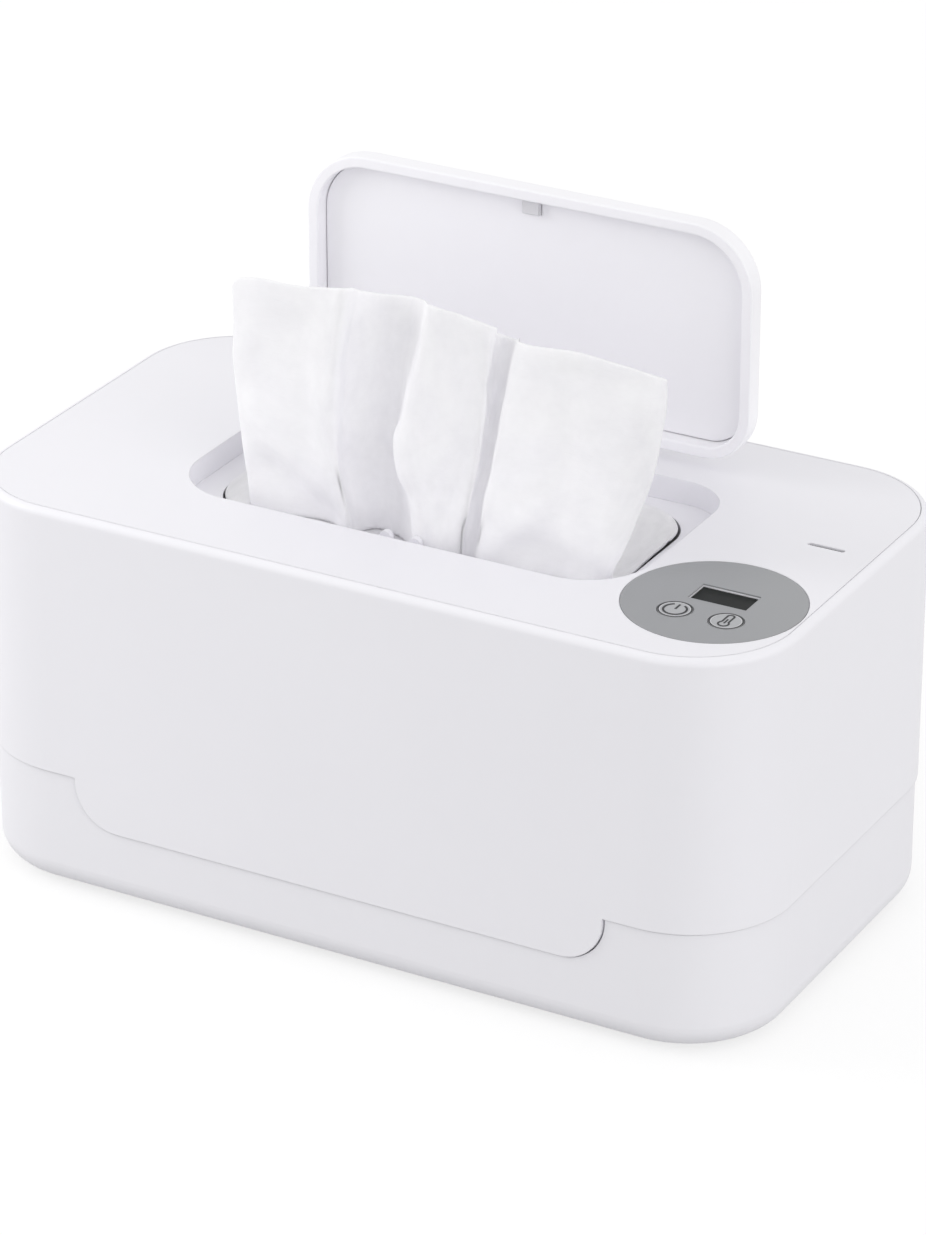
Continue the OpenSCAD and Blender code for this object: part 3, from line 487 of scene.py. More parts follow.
@dataclass(frozen=True)
class Fibrous:
    """A soft non-woven cloth or a pressed felt."""

    name: str
    colour: Colour
    coordinates: Coordinates = Coordinates.OBJECT
    fibres: float = 900.0
    depth: float = 0.08 * MM
    shade: float = 0.06
    cloud: float = 0.0
    glow_through: float = 0.0
    reach: float = 3.0 * MM
    sheen: float = 0.2

    @lru_cache(maxsize=None)
    def material(self) -> bpy.types.Material:
        """Makes the material, or returns it if it is there."""
        made, w, shader = new_material(self.name)
        fibres = w.add("ShaderNodeGroup", {
            "Place": w.coordinates(self.coordinates), "Colour": (*self.colour, 1.0), "Fibres": self.fibres,
            "Shade": self.shade, "Cloud": self.cloud}, node_tree=laid_fibres())
        w.feed_all(shader, {
            "Base Color": fibres.outputs["Colour"], "Specular IOR Level": 0.2,
            "Roughness": w.spread(fibres.outputs["Thickness"], 0.82, 0.95),
            "Sheen Weight": self.sheen, "Sheen Roughness": 0.6, "Subsurface Weight": self.glow_through,
            "Subsurface Radius": (1.0, 1.0, 1.0), "Subsurface Scale": self.reach})
        w.roughen(shader, fibres.outputs["Height"], self.depth)
        return made


Finish = Moulded | Metal | Tracked | Fibrous


def emptied(owner: bpy.types.Material | bpy.types.World) -> Wiring:
    """Turns on a material's or the world's nodes and clears them.

    Args:
        owner: the material or world.

    Returns:
        The wiring of its tree.
    """
    owner.use_nodes = True
    owner.node_tree.nodes.clear()
    return Wiring(owner.node_tree)


def new_material(name: str) -> tuple[bpy.types.Material, Wiring, Node]:
    """Makes an empty node material.

    Args:
        name: the material's name.

    Returns:
        The material, its wiring and its shader node, which is joined to the output.
    """
    made = bpy.data.materials.new(name)
    w = emptied(made)
    shader = w.add("ShaderNodeBsdfPrincipled")
    w.add("ShaderNodeOutputMaterial", {"Surface": shader.outputs[0]})
    return made, w, shader


SATIN_WHITE = Moulded("satin_white", (0.875, 0.867, 0.905), roughness=0.42, wear_and_highlight=0.2)
# The top cover is the sleeve's white plastic made a little darker: painted shade that evens out the stronger
# light on the top.
TOP_SHADED_WHITE = Moulded("top_shaded_white", (0.862, 0.855, 0.892), roughness=0.42, wear_and_highlight=0.2)
BASE_WHITE = Moulded("base_white", (0.868, 0.861, 0.897), roughness=0.45, wear_and_highlight=0.2)
# The lid's shell and liner are the housing's white plastic made lighter: painted light that lifts the lid
# where the wipe and the housing shade it.
LID_LIT_WHITE = Moulded("lid_lit_white", (0.93, 0.923, 0.952), roughness=0.34, grain=2400.0, depth=0.006 * MM,
                    wear_and_highlight=0.2)
LINER_LIT_WHITE = Moulded("liner_lit_white", (0.908, 0.901, 0.93), roughness=0.3, grain=2600.0, depth=0.005 * MM,
                      wear_and_highlight=0.2)
# The catch is painted a darker grey than the liner: painted shade in place of the shadow in the notch round
# it.
CATCH_SHADE_GREY = Moulded("catch_shade_grey", (0.7, 0.695, 0.718), roughness=0.4, grain=2600.0, depth=0.005 * MM,
                     wear_and_highlight=0.1)
INNER_GREY = Moulded("inner_grey", (0.74, 0.74, 0.76), roughness=0.55, grain=1100.0)
FOOT_RUBBER = Moulded("foot_rubber", (0.55, 0.55, 0.56), roughness=0.7, grain=1800.0, depth=0.03 * MM,
                      specular=0.35, wear_and_highlight=0.1)
PANEL_FILM = Moulded("panel_film", (0.315, 0.321, 0.333), roughness=0.38, mottle=0.035, grain=5200.0,
                     depth=0.01 * MM, unevenness=0.05, edge=0.1 * MM, wear_and_highlight=0.15, worn_and_lit=(0.55, 0.55, 0.56))
KEY_FILM = Moulded("key_film", (0.43, 0.437, 0.45), roughness=0.34, mottle=0.35, grain=2400.0,
                   depth=0.05 * MM, unevenness=0.2, edge=0.15 * MM, wear_and_highlight=0.5, worn_and_lit=(0.7, 0.7, 0.71))
SMOKED_WINDOW = Moulded("smoked_window", (0.013, 0.015, 0.014), roughness=0.34, mottle=0.3, grain=900.0,
                        depth=0.001 * MM, unevenness=0.04, specular=0.1, edge=0.1 * MM, wear_and_highlight=0.05)
SLOT_LENS = Moulded("slot_lens", (0.16, 0.16, 0.165), roughness=0.22, grain=2000.0, depth=0.002 * MM,
                    edge=0.1 * MM, wear_and_highlight=0.05)
# Ink of the printed marks; the same finish paints the dark border of shade round each key.
INK_AND_SHADE = Moulded("ink_and_shade", (0.022, 0.023, 0.025), roughness=0.5, mottle=0.2, grain=6000.0,
                   depth=0.004 * MM, edge=0.03 * MM, wear_and_highlight=0.1, worn_and_lit=(0.2, 0.2, 0.2))
RIM_GLINT = Moulded("rim_glint", (0.62, 0.625, 0.64), roughness=0.28, mottle=0.05, grain=5000.0,
                    depth=0.004 * MM, edge=0.03 * MM, wear_and_highlight=0.2)
BLACK_MOULDING = Moulded("black_moulding", (0.024, 0.024, 0.026), roughness=0.5, grain=1600.0,
                         depth=0.02 * MM, edge=0.15 * MM, wear_and_highlight=0.12, worn_and_lit=(0.2, 0.2, 0.2))
STEM_BLACK = Moulded("stem_black", (0.04, 0.04, 0.042), roughness=0.4, edge=0.1 * MM, wear_and_highlight=0.1,
                     worn_and_lit=(0.2, 0.2, 0.2))
RED_INSULATION = Moulded("red_insulation", (0.4, 0.02, 0.02), roughness=0.45, grain=3000.0, wear_and_highlight=0.05)
WHITE_INSULATION = Moulded("white_insulation", (0.75, 0.75, 0.74), roughness=0.5, grain=3000.0, wear_and_highlight=0.05)
YELLOW_INSULATION = Moulded("yellow_insulation", (0.6, 0.45, 0.05), roughness=0.5, grain=3000.0, wear_and_highlight=0.05)
ZINC_STEEL = Metal("zinc_steel", (0.62, 0.62, 0.64), 0.3, 1400.0)
PIN_STEEL = Metal("pin_steel", (0.66, 0.66, 0.68), 0.22, 1800.0)
ROLLED_ALUMINIUM = Metal("rolled_aluminium", (0.77, 0.78, 0.8), 0.36, 700.0)
BOARD_GREEN = Tracked("board_green", (0.012, 0.12, 0.05), (0.03, 0.22, 0.09), 210.0)
LAMP_BOARD = Tracked("lamp_board", (0.5, 0.5, 0.5), (0.7, 0.7, 0.7), 260.0)
HEATER_AMBER = Tracked("heater_amber", (0.42, 0.16, 0.025), (0.2, 0.07, 0.02), 46.0, 0.3)
FELT_GREY = Fibrous("felt_grey", (0.33, 0.33, 0.32), fibres=1500.0, depth=0.2 * MM, shade=0.5, sheen=0.3)
WIPE_CLOTH = Fibrous("wipe_cloth", (0.9, 0.891, 0.927), Coordinates.UV, fibres=1300.0, depth=0.05 * MM,
                     shade=0.05, cloud=0.22, glow_through=0.7)
STACKED_CLOTH = Fibrous("stacked_cloth", (0.905, 0.9, 0.93), fibres=1300.0, depth=0.06 * MM, shade=0.07,
                        cloud=0.08, glow_through=0.15)


# Making pieces


def dress(**finishes: Finish) -> None:
    """Gives nodes of the frame their finishes.

    Args:
        finishes: each node's name and its finish.
    """
    for node, finish in finishes.items():
        slots = frame["nodes"][node].data.materials
        slots.clear()
        slots.append(finish.material())
        log.info("dressed %s in %s", node, finish.name)


def add_object(name: str, data: bpy.types.ID) -> bpy.types.Object:
    """Adds an object to the scene and returns it."""
    piece = bpy.data.objects.new(name, data)
    bpy.context.scene.collection.objects.link(piece)
    return piece


def add_mesh(name: str, mesh: Mesh, material: bpy.types.Material) -> bpy.types.Object:
    """Adds an object made of a finished bmesh.

    Args:
        name: the object's name.
        mesh: its shape; it is freed.
        material: its only material.

    Returns:
        The new object.
    """
    data = bpy.data.meshes.new(name)
    mesh.to_mesh(data)
    mesh.free()
    data.materials.append(material)
    return add_object(name, data)


def add_piece(name: str, mesh: Mesh, finish: Finish, body: Body) -> bpy.types.Object:
    """Makes a piece of a finished bmesh and lets it ride on a body.

    Args:
        name: the piece's name.
        mesh: its shape in the frame; it is freed.
        finish: what it is made of.
        body: the body that it moves with.

    Returns:
        The new object, which sits at the origin.
    """
    piece = add_mesh(name, mesh, finish.material())
    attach(piece, body.value)
    log.info("made %s, %d faces", name, len(piece.data.polygons))
    return piece


def subdivide(piece: bpy.types.Object, levels: int) -> None:
    """Adds a subdivision surface with the same levels in view and render."""
    modifier = piece.modifiers.new("subdivision", "SUBSURF")
    modifier.levels = levels
    modifier.render_levels = levels


def arc_bar(mesh: Mesh, centre: Point, radius: float, width: float, height: float,
            start: float, sweep: float, steps: int) -> None:
    """Adds a flat bar bent into an arc or a full ring about the vertical.

    Args:
        mesh: the mesh that it goes into.
        centre: the arc's centre, at the bar's underside.
        radius: radius of the bar's middle line.
        width: the bar's width.
        height: the bar's height.
        start: where the arc starts, in degrees from +X.
        sweep: how far it goes, in degrees; 360 closes it.
        steps: the number of segments.
    """
    inner, outer = radius - width / 2, radius + width / 2
    corners = [(inner, 0.0), (outer, 0.0), (outer, height), (inner, height)]
    turn = Matrix.Rotation(math.radians(start), 4, "Z")
    middle = Vector(centre)
    verts = [mesh.verts.new(middle + turn @ Vector((r, 0.0, z))) for r, z in corners]
    face = mesh.faces.new(verts)
    whole = abs(sweep - 360.0) < 1e-6
    made = bmesh.ops.spin(
        mesh, geom=[face, *face.edges, *verts], cent=middle, axis=(0, 0, 1), angle=math.radians(sweep),
        steps=steps, use_merge=whole, use_duplicate=False)
    if whole:
        inside = [f for f in mesh.faces if f is face]
        inside += [g for g in made["geom_last"] if isinstance(g, bmesh.types.BMFace) and g not in inside]
        bmesh.ops.delete(mesh, geom=inside, context="FACES_ONLY")
    bmesh.ops.remove_doubles(mesh, verts=mesh.verts, dist=1e-7)


def straight_bar(mesh: Mesh, centre: Point, size: Point) -> None:
    """Adds a small block with its top edges bevelled.

    Args:
        mesh: the mesh that it goes into.
        centre: the block's centre.
        size: its length along X, Y and Z.
    """
    place = Matrix.Translation(centre) @ Matrix.Diagonal((*size, 1.0))
    made = bmesh.ops.create_cube(mesh, size=1.0, matrix=place)
    edges = dict.fromkeys(e for v in made["verts"] for e in v.link_edges)
    top = [e for e in edges if all(v.co.z > centre[2] for v in e.verts)]
    bmesh.ops.bevel(mesh, geom=top, offset=min(size) * 0.25, affect="EDGES", segments=1, profile=0.5,
                    material=-1)


def eased(points: list[Vector], at: float) -> Vector:
    """Runs a smooth line through points.

    Args:
        points: the points that it passes through.
        at: how far along, from 0 to the number of spans.

    Returns:
        The point there.
    """
    i = min(int(at), len(points) - 2)
    t = at - i
    a, b, c, d = points[max(i - 1, 0)], points[i], points[i + 1], points[min(i + 2, len(points) - 1)]
    bend, twist = 2 * a - 5 * b + 4 * c - d, 3 * b - a - 3 * c + d
    return 0.5 * (2 * b + (c - a) * t + bend * t * t + twist * t ** 3)


def waver(x: float, y: float, z: float) -> float:
    """Returns a smooth pattern's value at a place, from -1 to 1."""
    return noise.noise(Vector((x, y, z)))


def grey(level: float) -> tuple[float, float, float, float]:
    """Returns an opaque grey."""
    return (level, level, level, 1.0)


def outward(azimuth: float, elevation: float) -> Vector:
    """Returns the direction from the object to a place round it.

    Args:
        azimuth: 0 is in front and 90 at the right, in degrees.
        elevation: degrees above the horizon.

    Returns:
        A vector of length 1.
    """
    turn, rise = math.radians(azimuth), math.radians(elevation)
    return Vector((math.sin(turn) * math.cos(rise), -math.cos(turn) * math.cos(rise), math.sin(rise)))


# Sub-assemblies


@dataclass
class BaseTray:
    """The shallow base with its feet."""

    tray: Finish = BASE_WHITE
    feet: Finish = FOOT_RUBBER

    def build(self) -> None:
        """Dresses the base and the feet."""
        dress(base_tray=self.tray, rubber_feet=self.feet)


@dataclass
class Housing:
    """The lift-off housing, with what is fixed in its walls."""

    shell: Finish = SATIN_WHITE

    def build(self) -> None:
        """Dresses the housing's pieces."""
        dress(sleeve=self.shell, top_cover=TOP_SHADED_WHITE, opening_frame=self.shell, inner_cover=INNER_GREY,
              cover_screws=ZINC_STEEL, indicator_lens=SLOT_LENS, indicator_lamp=LAMP_BOARD,
              power_socket=BLACK_MOULDING, socket_nut=ZINC_STEEL, hinge_pins=PIN_STEEL)


@dataclass
class Lid:
    """The flip-up lid."""

    shell: Finish = LID_LIT_WHITE
    liner: Finish = LINER_LIT_WHITE
    catch: Finish = CATCH_SHADE_GREY

    def build(self) -> None:
        """Dresses the lid's pieces."""
        dress(lid_shell=self.shell, lid_liner=self.liner, lid_catch=self.catch)


@dataclass
class ControlPanel:
    """The round panel with its window, two keys, their printed marks and the rings of painted shade and
    painted highlight round their faces.
    """

    # Sizes of the dark border, painted shade of each key's gap, and of the bright ring, a painted highlight
    # of its edge.
    shade_radius: float = 4.05 * MM
    shade_width: float = 0.42 * MM
    highlight_radius: float = 3.74 * MM
    highlight_width: float = 0.26 * MM
    ink: float = 0.05 * MM
    rim_height: float = 0.07 * MM
    mark_height: float = 0.08 * MM
    power_radius: float = 2.85 * MM
    power_line: float = 0.56 * MM
    power_opening: float = 56.0
    bulb_drop: float = 1.5 * MM
    bulb_radius: float = 1.3 * MM
    stem_width: float = 1.7 * MM
    stem_length: float = 3.1 * MM
    thermometer_line: float = 0.5 * MM

    def build(self) -> None:
        """Dresses the panel, paints the shade and highlight rings round its keys and prints the marks on
        them.
        """
        dress(control_overlay=PANEL_FILM, display_window=SMOKED_WINDOW, display_module=BLACK_MOULDING,
              power_button=KEY_FILM, power_plunger=STEM_BLACK, temperature_button=KEY_FILM,
              temperature_plunger=STEM_BLACK)
        self.paint_rim_shading("power", Body.POWER_KEY)
        self.paint_rim_shading("temperature", Body.TEMPERATURE_KEY)
        self.print_power()
        self.print_thermometer()

    def print_level(self, key: str) -> Vector:
        """Finds where a key's mark is printed.

        Args:
            key: the key's name.

        Returns:
            The middle of its top face, half the ink's thickness deeper.
        """
        low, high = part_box(f"{key}_button")
        middle = (low + high) / 2
        return Vector((middle.x, middle.y, high.z - self.ink / 2))

    def paint_rim_shading(self, key: str, body: Body) -> None:
        """Paints a dark border round a key's face, painted shade of the gap round the key, and a bright ring
        inside it, a painted highlight of the key's edge.

        Args:
            key: the key's name.
            body: the body that it moves with.
        """
        centre = self.print_level(key)
        # A dark border of painted shade and a bright ring of painted highlight.
        rings = (("border", self.shade_radius, self.shade_width, INK_AND_SHADE, "dark_window"),
                 ("ring", self.highlight_radius, self.highlight_width, RIM_GLINT, "grey_panel"))
        for label, radius, width, finish, slot in rings:
            mesh = bmesh.new()
            arc_bar(mesh, centre, radius, width, self.rim_height, 0.0, 360.0, 64)
            add_piece(f"{key}_{label}", mesh, finish, body)

    def print_power(self) -> None:
        """Makes the open ring and bar of the on and off mark."""
        mesh = bmesh.new()
        centre = self.print_level("power")
        arc_bar(mesh, centre, self.power_radius, self.power_line, self.mark_height,
                90.0 + self.power_opening / 2, 360.0 - self.power_opening, 56)
        straight_bar(mesh, centre + Vector((0, self.power_radius * 0.52, self.mark_height / 2)),
                     (self.power_line, self.power_radius * 0.95, self.mark_height))
        add_piece("power_mark", mesh, INK_AND_SHADE, Body.POWER_KEY)

    def print_thermometer(self) -> None:
        """Makes the outline of a thermometer, bulb towards the user."""
        mesh = bmesh.new()
        line, height = self.thermometer_line, self.mark_height
        bulb = self.print_level("temperature") - Vector((0, self.bulb_drop, 0))
        half = self.stem_width / 2
        opening = math.degrees(math.asin(half / self.bulb_radius))
        arc_bar(mesh, bulb, self.bulb_radius, line, height, 90.0 + opening, 360.0 - 2 * opening, 40)
        start = self.bulb_radius * math.cos(math.radians(opening))
        for side in (-1, 1):
            straight_bar(mesh, bulb + Vector((side * half, start + self.stem_length / 2, height / 2)),
                         (line, self.stem_length, height))
        arc_bar(mesh, bulb + Vector((0, start + self.stem_length, 0)), half, line, height, 0.0, 180.0, 20)
        straight_bar(mesh, bulb + Vector((0, self.stem_length * 0.45, height / 2)),
                     (line * 0.9, self.stem_length * 0.75, height))
        add_piece("temperature_mark", mesh, INK_AND_SHADE, Body.TEMPERATURE_KEY)


@dataclass
class Electronics:
    """The board behind the panel, with its parts, switches and leads."""

    plug_cream: Colour = (0.72, 0.69, 0.6)
    can_blue: Colour = (0.03, 0.05, 0.2)
    plug_zone: Point = (20 * MM, 3.2 * MM, 10 * MM)
    can_zone: Point = (4 * MM, 6 * MM, 8 * MM)

    def build(self) -> None:
        """Dresses the board and what is on it."""
        dress(control_board=BOARD_GREEN, board_screws=ZINC_STEEL, tact_switches=BLACK_MOULDING,
              board_components=self.components(), power_leads=RED_INSULATION,
              heater_leads=WHITE_INSULATION, sensor_leads=YELLOW_INSULATION)

    def components(self) -> Moulded:
        """Returns the finish of the board's parts: connectors, chip and capacitor."""
        low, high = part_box("board_components")
        middle = (low + high) / 2
        plugs = Patch((middle.x, high.y - 3 * MM, middle.z), self.plug_zone, self.plug_cream)
        capacitor = Patch((high.x - 2.5 * MM, low.y + 4 * MM, low.z), self.can_zone, self.can_blue)
        return Moulded("board_parts", (0.03, 0.03, 0.032), 0.45, grain=1800.0, edge=0.12 * MM, wear_and_highlight=0.15,
                       worn_and_lit=(0.3, 0.3, 0.3), patches=(plugs, capacitor))


@dataclass
class Heater:
    """The heater plate, its film and felt pad, the thermal cut-out and the sensor."""

    felt_round: float = 0.35 * MM
    can_zone: Point = (9 * MM, 9 * MM, 1.25 * MM)
    can_grey: Colour = (0.62, 0.62, 0.64)
    tab_zone: Point = (9 * MM, 9 * MM, 3.4 * MM)
    tab_brass: Colour = (0.7, 0.55, 0.28)

    def build(self) -> None:
        """Dresses the heater and makes the felt pad."""
        dress(heater_plate=ROLLED_ALUMINIUM, heating_film=HEATER_AMBER, heater_screws=ZINC_STEEL,
              temperature_sensor=BLACK_MOULDING, thermal_cutout=self.cutout())
        self.felt_pad()

    def cutout(self) -> Moulded:
        """Returns the cut-out's finish: a dark body with a metal can below and tabs above."""
        low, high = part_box("thermal_cutout")
        middle = (low + high) / 2
        can = Patch((middle.x, middle.y, low.z), self.can_zone, self.can_grey, 1.0)
        tabs = Patch((middle.x, middle.y, high.z), self.tab_zone, self.tab_brass, 1.0)
        return Moulded("cutout_can", (0.05, 0.045, 0.04), 0.4, edge=0.1 * MM, wear_and_highlight=0.1,
                       worn_and_lit=(0.4, 0.4, 0.4), patches=(can, tabs))

    def felt_pad(self) -> None:
        """Makes the felt pad from its solid, with soft edges."""
        mesh = bmesh.new()
        mesh.from_mesh(frame["nodes"]["insulation_pad"].data)
        bmesh.ops.remove_doubles(mesh, verts=mesh.verts, dist=1e-6)
        bmesh.ops.dissolve_limit(mesh, angle_limit=math.radians(1.0), verts=mesh.verts, edges=mesh.edges)
        piece = add_piece("felt_pad", mesh, FELT_GREY, Body.HOUSING)
        edge = piece.modifiers.new("soft_edge", "BEVEL")
        edge.width = self.felt_round
        edge.segments = 2
        edge.limit_method = "ANGLE"
        edge.angle_limit = math.radians(60.0)
        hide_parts("insulation_pad")


@dataclass
class WipeStack:
    """The stack of folded wipes in the base."""

    layers: int = 17
    length: float = 190 * MM
    depth: float = 100 * MM
    play: float = 0.7 * MM
    cells: tuple[int, int] = (34, 18)
    corner_pull: float = 0.03
    gap: float = 0.02
    edge_height: float = 0.78
    crown: float = 0.14
    ripple: float = 0.06

    def build(self) -> None:
        """Makes the stack, one soft folded wipe above another."""
        low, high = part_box("wipe_stack")
        mesh = bmesh.new()
        step = (high.z - low.z) / self.layers
        for index in range(self.layers):
            self.folded_wipe(mesh, index, low.z + index * step, step)
        for face in mesh.faces:
            face.smooth = True
        piece = add_piece("folded_wipes", mesh, STACKED_CLOTH, Body.BASE)
        subdivide(piece, 1)
        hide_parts("wipe_stack")

    def folded_wipe(self, mesh: Mesh, index: int, bottom: float, thickness: float) -> None:
        """Adds one folded wipe.

        Args:
            mesh: the stack's mesh.
            index: its number from the bottom.
            bottom: the height of its underside.
            thickness: its thickness.
        """
        place = Vector((waver(index * 1.7, 0.3, 0.0), waver(0.7, index * 1.3, 5.0), 0.0)) * self.play
        half_l, half_w = self.length / 2 - self.play, self.depth / 2 - self.play
        made = bmesh.ops.create_grid(mesh, x_segments=self.cells[0], y_segments=self.cells[1], size=0.5)
        base = made["verts"]
        for vert in base:
            x, y = 2 * vert.co.x, 2 * vert.co.y
            pull = 1.0 - self.corner_pull * (abs(x) ** 6) * (abs(y) ** 6)
            uneven = waver(x * 7, y * 5, index * 3.1) * self.play
            vert.co.x = place.x + (half_l + uneven) * x * pull
            vert.co.y = place.y + (half_w + uneven) * y * pull
            vert.co.z = bottom + thickness * self.gap
        faces = dict.fromkeys(f for v in base for f in v.link_faces)
        grown = bmesh.ops.extrude_face_region(mesh, geom=list(faces))
        top = [g for g in grown["geom"] if isinstance(g, bmesh.types.BMVert)]
        for vert in top:
            x, y = (vert.co.x - place.x) / half_l, (vert.co.y - place.y) / half_w
            crown = (1 - min(abs(x), 1.0) ** 12) * (1 - min(abs(y), 1.0) ** 10)
            ripple = waver(vert.co.x * 55, vert.co.y * 70, index * 2.3)
            vert.co.z = bottom + thickness * (self.edge_height + self.crown * crown + self.ripple * ripple)
        bmesh.ops.recalc_face_normals(mesh, faces=mesh.faces)


# How far the sheet's low end is gathered inwards of its waist, along x and y
GATHER = (0.88, 0.8)


@dataclass(frozen=True)
class Fold:
    """A line that the sheet follows up from the opening, in millimetres.

    Args:
        top: its end at the sheet's upper edge, as x, y and z.
        middle: its x and y halfway up.
        waist: its x and y in the opening.
    """

    top: Point
    middle: tuple[float, float]
    waist: tuple[float, float]

    def levels(self, middle_height: float, waist_height: float, bottom: float) -> list[Vector]:
        """Works out the line's places.

        Args:
            middle_height: the height of its middle.
            waist_height: the height of its waist.
            bottom: the height of its low end.

        Returns:
            Its four places from the bottom up, in metres.
        """
        low = (self.waist[0] * GATHER[0], self.waist[1] * GATHER[1], bottom / MM)
        points = (low, (*self.waist, waist_height / MM), (*self.middle, middle_height / MM), self.top)
        return [Vector(point) * MM for point in points]


@dataclass(frozen=True)
class Crease:
    """A soft ridge or valley across the folds, seen from the front, in millimetres.

    Args:
        start: one end's x and z.
        end: the other end's x and z.
        width: how far it reaches to each side.
        depth: how far it stands forward, or back if negative.
    """

    start: tuple[float, float]
    end: tuple[float, float]
    width: float
    depth: float

    def push(self, x: float, z: float) -> float:
        """Works out how far a place is pushed forward.

        Args:
            x: the place along the width, in millimetres.
            z: its height.

        Returns:
            The push in millimetres.
        """
        along = (self.end[0] - self.start[0], self.end[1] - self.start[1])
        length = along[0] ** 2 + along[1] ** 2
        share = ((x - self.start[0]) * along[0] + (z - self.start[1]) * along[1]) / length
        near = min(max(share, 0.0), 1.0)
        gap = math.hypot(x - self.start[0] - near * along[0], z - self.start[1] - near * along[1])
        return self.depth * math.exp(-(gap / self.width) ** 2)


@dataclass
class RaisedWipe:
    """The wipe that is pulled up through the opening, in soft pleats."""

    bottom: float = 60.3 * MM
    waist_height: float = 101.0 * MM
    middle_height: float = 130.0 * MM
    rear_height: float = 102.2 * MM
    tuck: float = 6.0 * MM
    steps: int = 6
    rows: int = 54
    thickness: float = 0.8 * MM
    keep: float = 0.2
    sway: float = 2.0 * MM
    rumple: float = 1.2 * MM
    fine: float = 0.32 * MM
    ragged: float = 1.2 * MM
    lying_rumple: float = 1.2 * MM
    lying_fine: float = 0.4 * MM
    pattern: tuple[float, float] = (0.28, 0.11)
    front: tuple[Fold, ...] = (
        Fold((-54.5, -15.5, 156), (-51.5, -17.5), (-46.5, -19)),
        Fold((-51, -18, 160.5), (-49, -20), (-44, -22.5)),
        Fold((-35, -20, 163), (-36, -22), (-32, -20.5)),
        Fold((-22, -21.5, 165.4), (-24.5, -24), (-20, -22)),
        Fold((-18, -21.5, 166), (-20.5, -24), (-15.5, -24.5)),
        Fold((-19, -15, 163), (-21, -19), (-16, -20)), Fold((-15, -9, 160.5), (-16, -13), (-12, -16)),
        Fold((-7, -8.5, 160.5), (-9, -13.5), (-5, -17)), Fold((-1.5, -12, 162), (-5, -17), (0, -20)),
        Fold((3.5, -19, 165), (-1, -23), (4, -24.5)), Fold((6.5, -20, 165.5), (4, -22.5), (7.5, -24.5)),
        Fold((12, -18, 164), (11, -20.5), (11.5, -23.5)),
        Fold((19.5, -16, 161.5), (18, -20), (15.5, -23.5)),
        Fold((18, -13, 158.5), (17, -18), (14.8, -22.3)), Fold((19, -10, 157), (18, -15.5), (15.8, -21)),
        Fold((23.2, -10, 157), (20.5, -15.5), (17.6, -21.2)),
        Fold((26.5, -12, 158), (22.7, -17.5), (19, -22.6)),
        Fold((27.5, -14, 158.5), (24, -19.5), (19.7, -24)),
        Fold((37, -17, 159.5), (34, -21.5), (28, -24)), Fold((48, -18, 160), (46, -22), (40, -23.5)),
        Fold((60, -16.5, 158), (58.5, -19.5), (50.5, -24.5)),
        Fold((64.5, -13.5, 156), (63.5, -17), (54.5, -21.5)),
        Fold((64.2, -11, 154.5), (62.5, -14), (53.5, -18)))
    rear: tuple[Fold, ...] = (
        Fold((-56.7, -14, 101.6), (-56.3, -1), (-56.2, 9)),
        Fold((-55.4, -19, 101.4), (-55.4, 1.5), (-55.4, 14.7)),
        Fold((-52.2, -23, 101.2), (-52.5, 4), (-52.2, 19.4)),
        Fold((-47.5, -25.6, 101), (-47.7, 7), (-47.4, 22.3)),
        Fold((-41, -26.5, 100.6), (-41.5, 8), (-41.5, 23.3)),
        Fold((-32, -26.5, 100.2), (-32, 8), (-33, 23.4)), Fold((-21, -26.5, 99.2), (-21, 8), (-22, 23.4)),
        Fold((-9, -26.4, 97.4), (-10, 8), (-11, 23.4)), Fold((3, -26.4, 97.6), (3, 8), (3, 23.4)),
        Fold((16, -26.5, 99.2), (17, 8), (17, 23.4)), Fold((29, -26.5, 100.4), (30, 8), (30, 23.4)),
        Fold((40, -26.5, 100.8), (41, 7), (41, 23.3)), Fold((47.5, -25.6, 101), (47.7, 7), (47.4, 22.3)),
        Fold((52.2, -23, 101.2), (52.5, 4), (52.2, 19.4)),
        Fold((55.4, -19, 101.4), (55.4, 1.5), (55.4, 14.7)),
        Fold((56.7, -14, 101.6), (56.3, -1), (56.2, 9)))
    creases: tuple[Crease, ...] = (
        Crease((-45, 128), (-29, 109), 3.0, 1.5), Crease((-40, 113), (-24, 103), 4.5, -2.6),
        Crease((-31, 152), (-27, 118), 4.0, -0.9), Crease((-48, 158), (-47, 140), 3.0, 0.6),
        Crease((-10, 118), (-8, 104), 5.0, -1.8), Crease((-2, 129), (0, 120), 3.2, 1.9),
        Crease((19, 146), (12, 118), 2.6, -1.1), Crease((14, 112), (10, 103), 3.0, 0.9),
        Crease((36, 118), (23, 104), 3.2, 1.3), Crease((30, 107), (49, 104), 4.2, -2.2),
        Crease((44, 152), (41, 120), 5.0, -1.0), Crease((60, 150), (55, 112), 3.0, 0.9),
        Crease((30, 157), (45, 158), 2.5, 0.6))

    def build(self) -> None:
        """Makes the pleated sheet, with its thickness and a subdivision surface."""
        mesh = bmesh.new()
        layer = mesh.loops.layers.uv.new("UVMap")
        self.ply(mesh, layer, [fold.levels(self.middle_height, self.waist_height, self.bottom)
                               for fold in self.front], self.rows, self.place)
        self.ply(mesh, layer, [fold.levels(self.rear_height, self.rear_height, self.rear_height - self.tuck)
                               for fold in self.rear], self.rows // 2, self.lie)
        area = sum(face.calc_area() for face in mesh.faces)
        piece = add_piece("raised_sheet", mesh, WIPE_CLOTH, Body.HOUSING)
        shell = piece.modifiers.new("cloth_thickness", "SOLIDIFY")
        shell.thickness = self.thickness
        shell.offset = 0.0
        subdivide(piece, 1)
        log.info("raised sheet covers %.5f square metres", area)
        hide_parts("raised_wipe")
        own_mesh(piece)

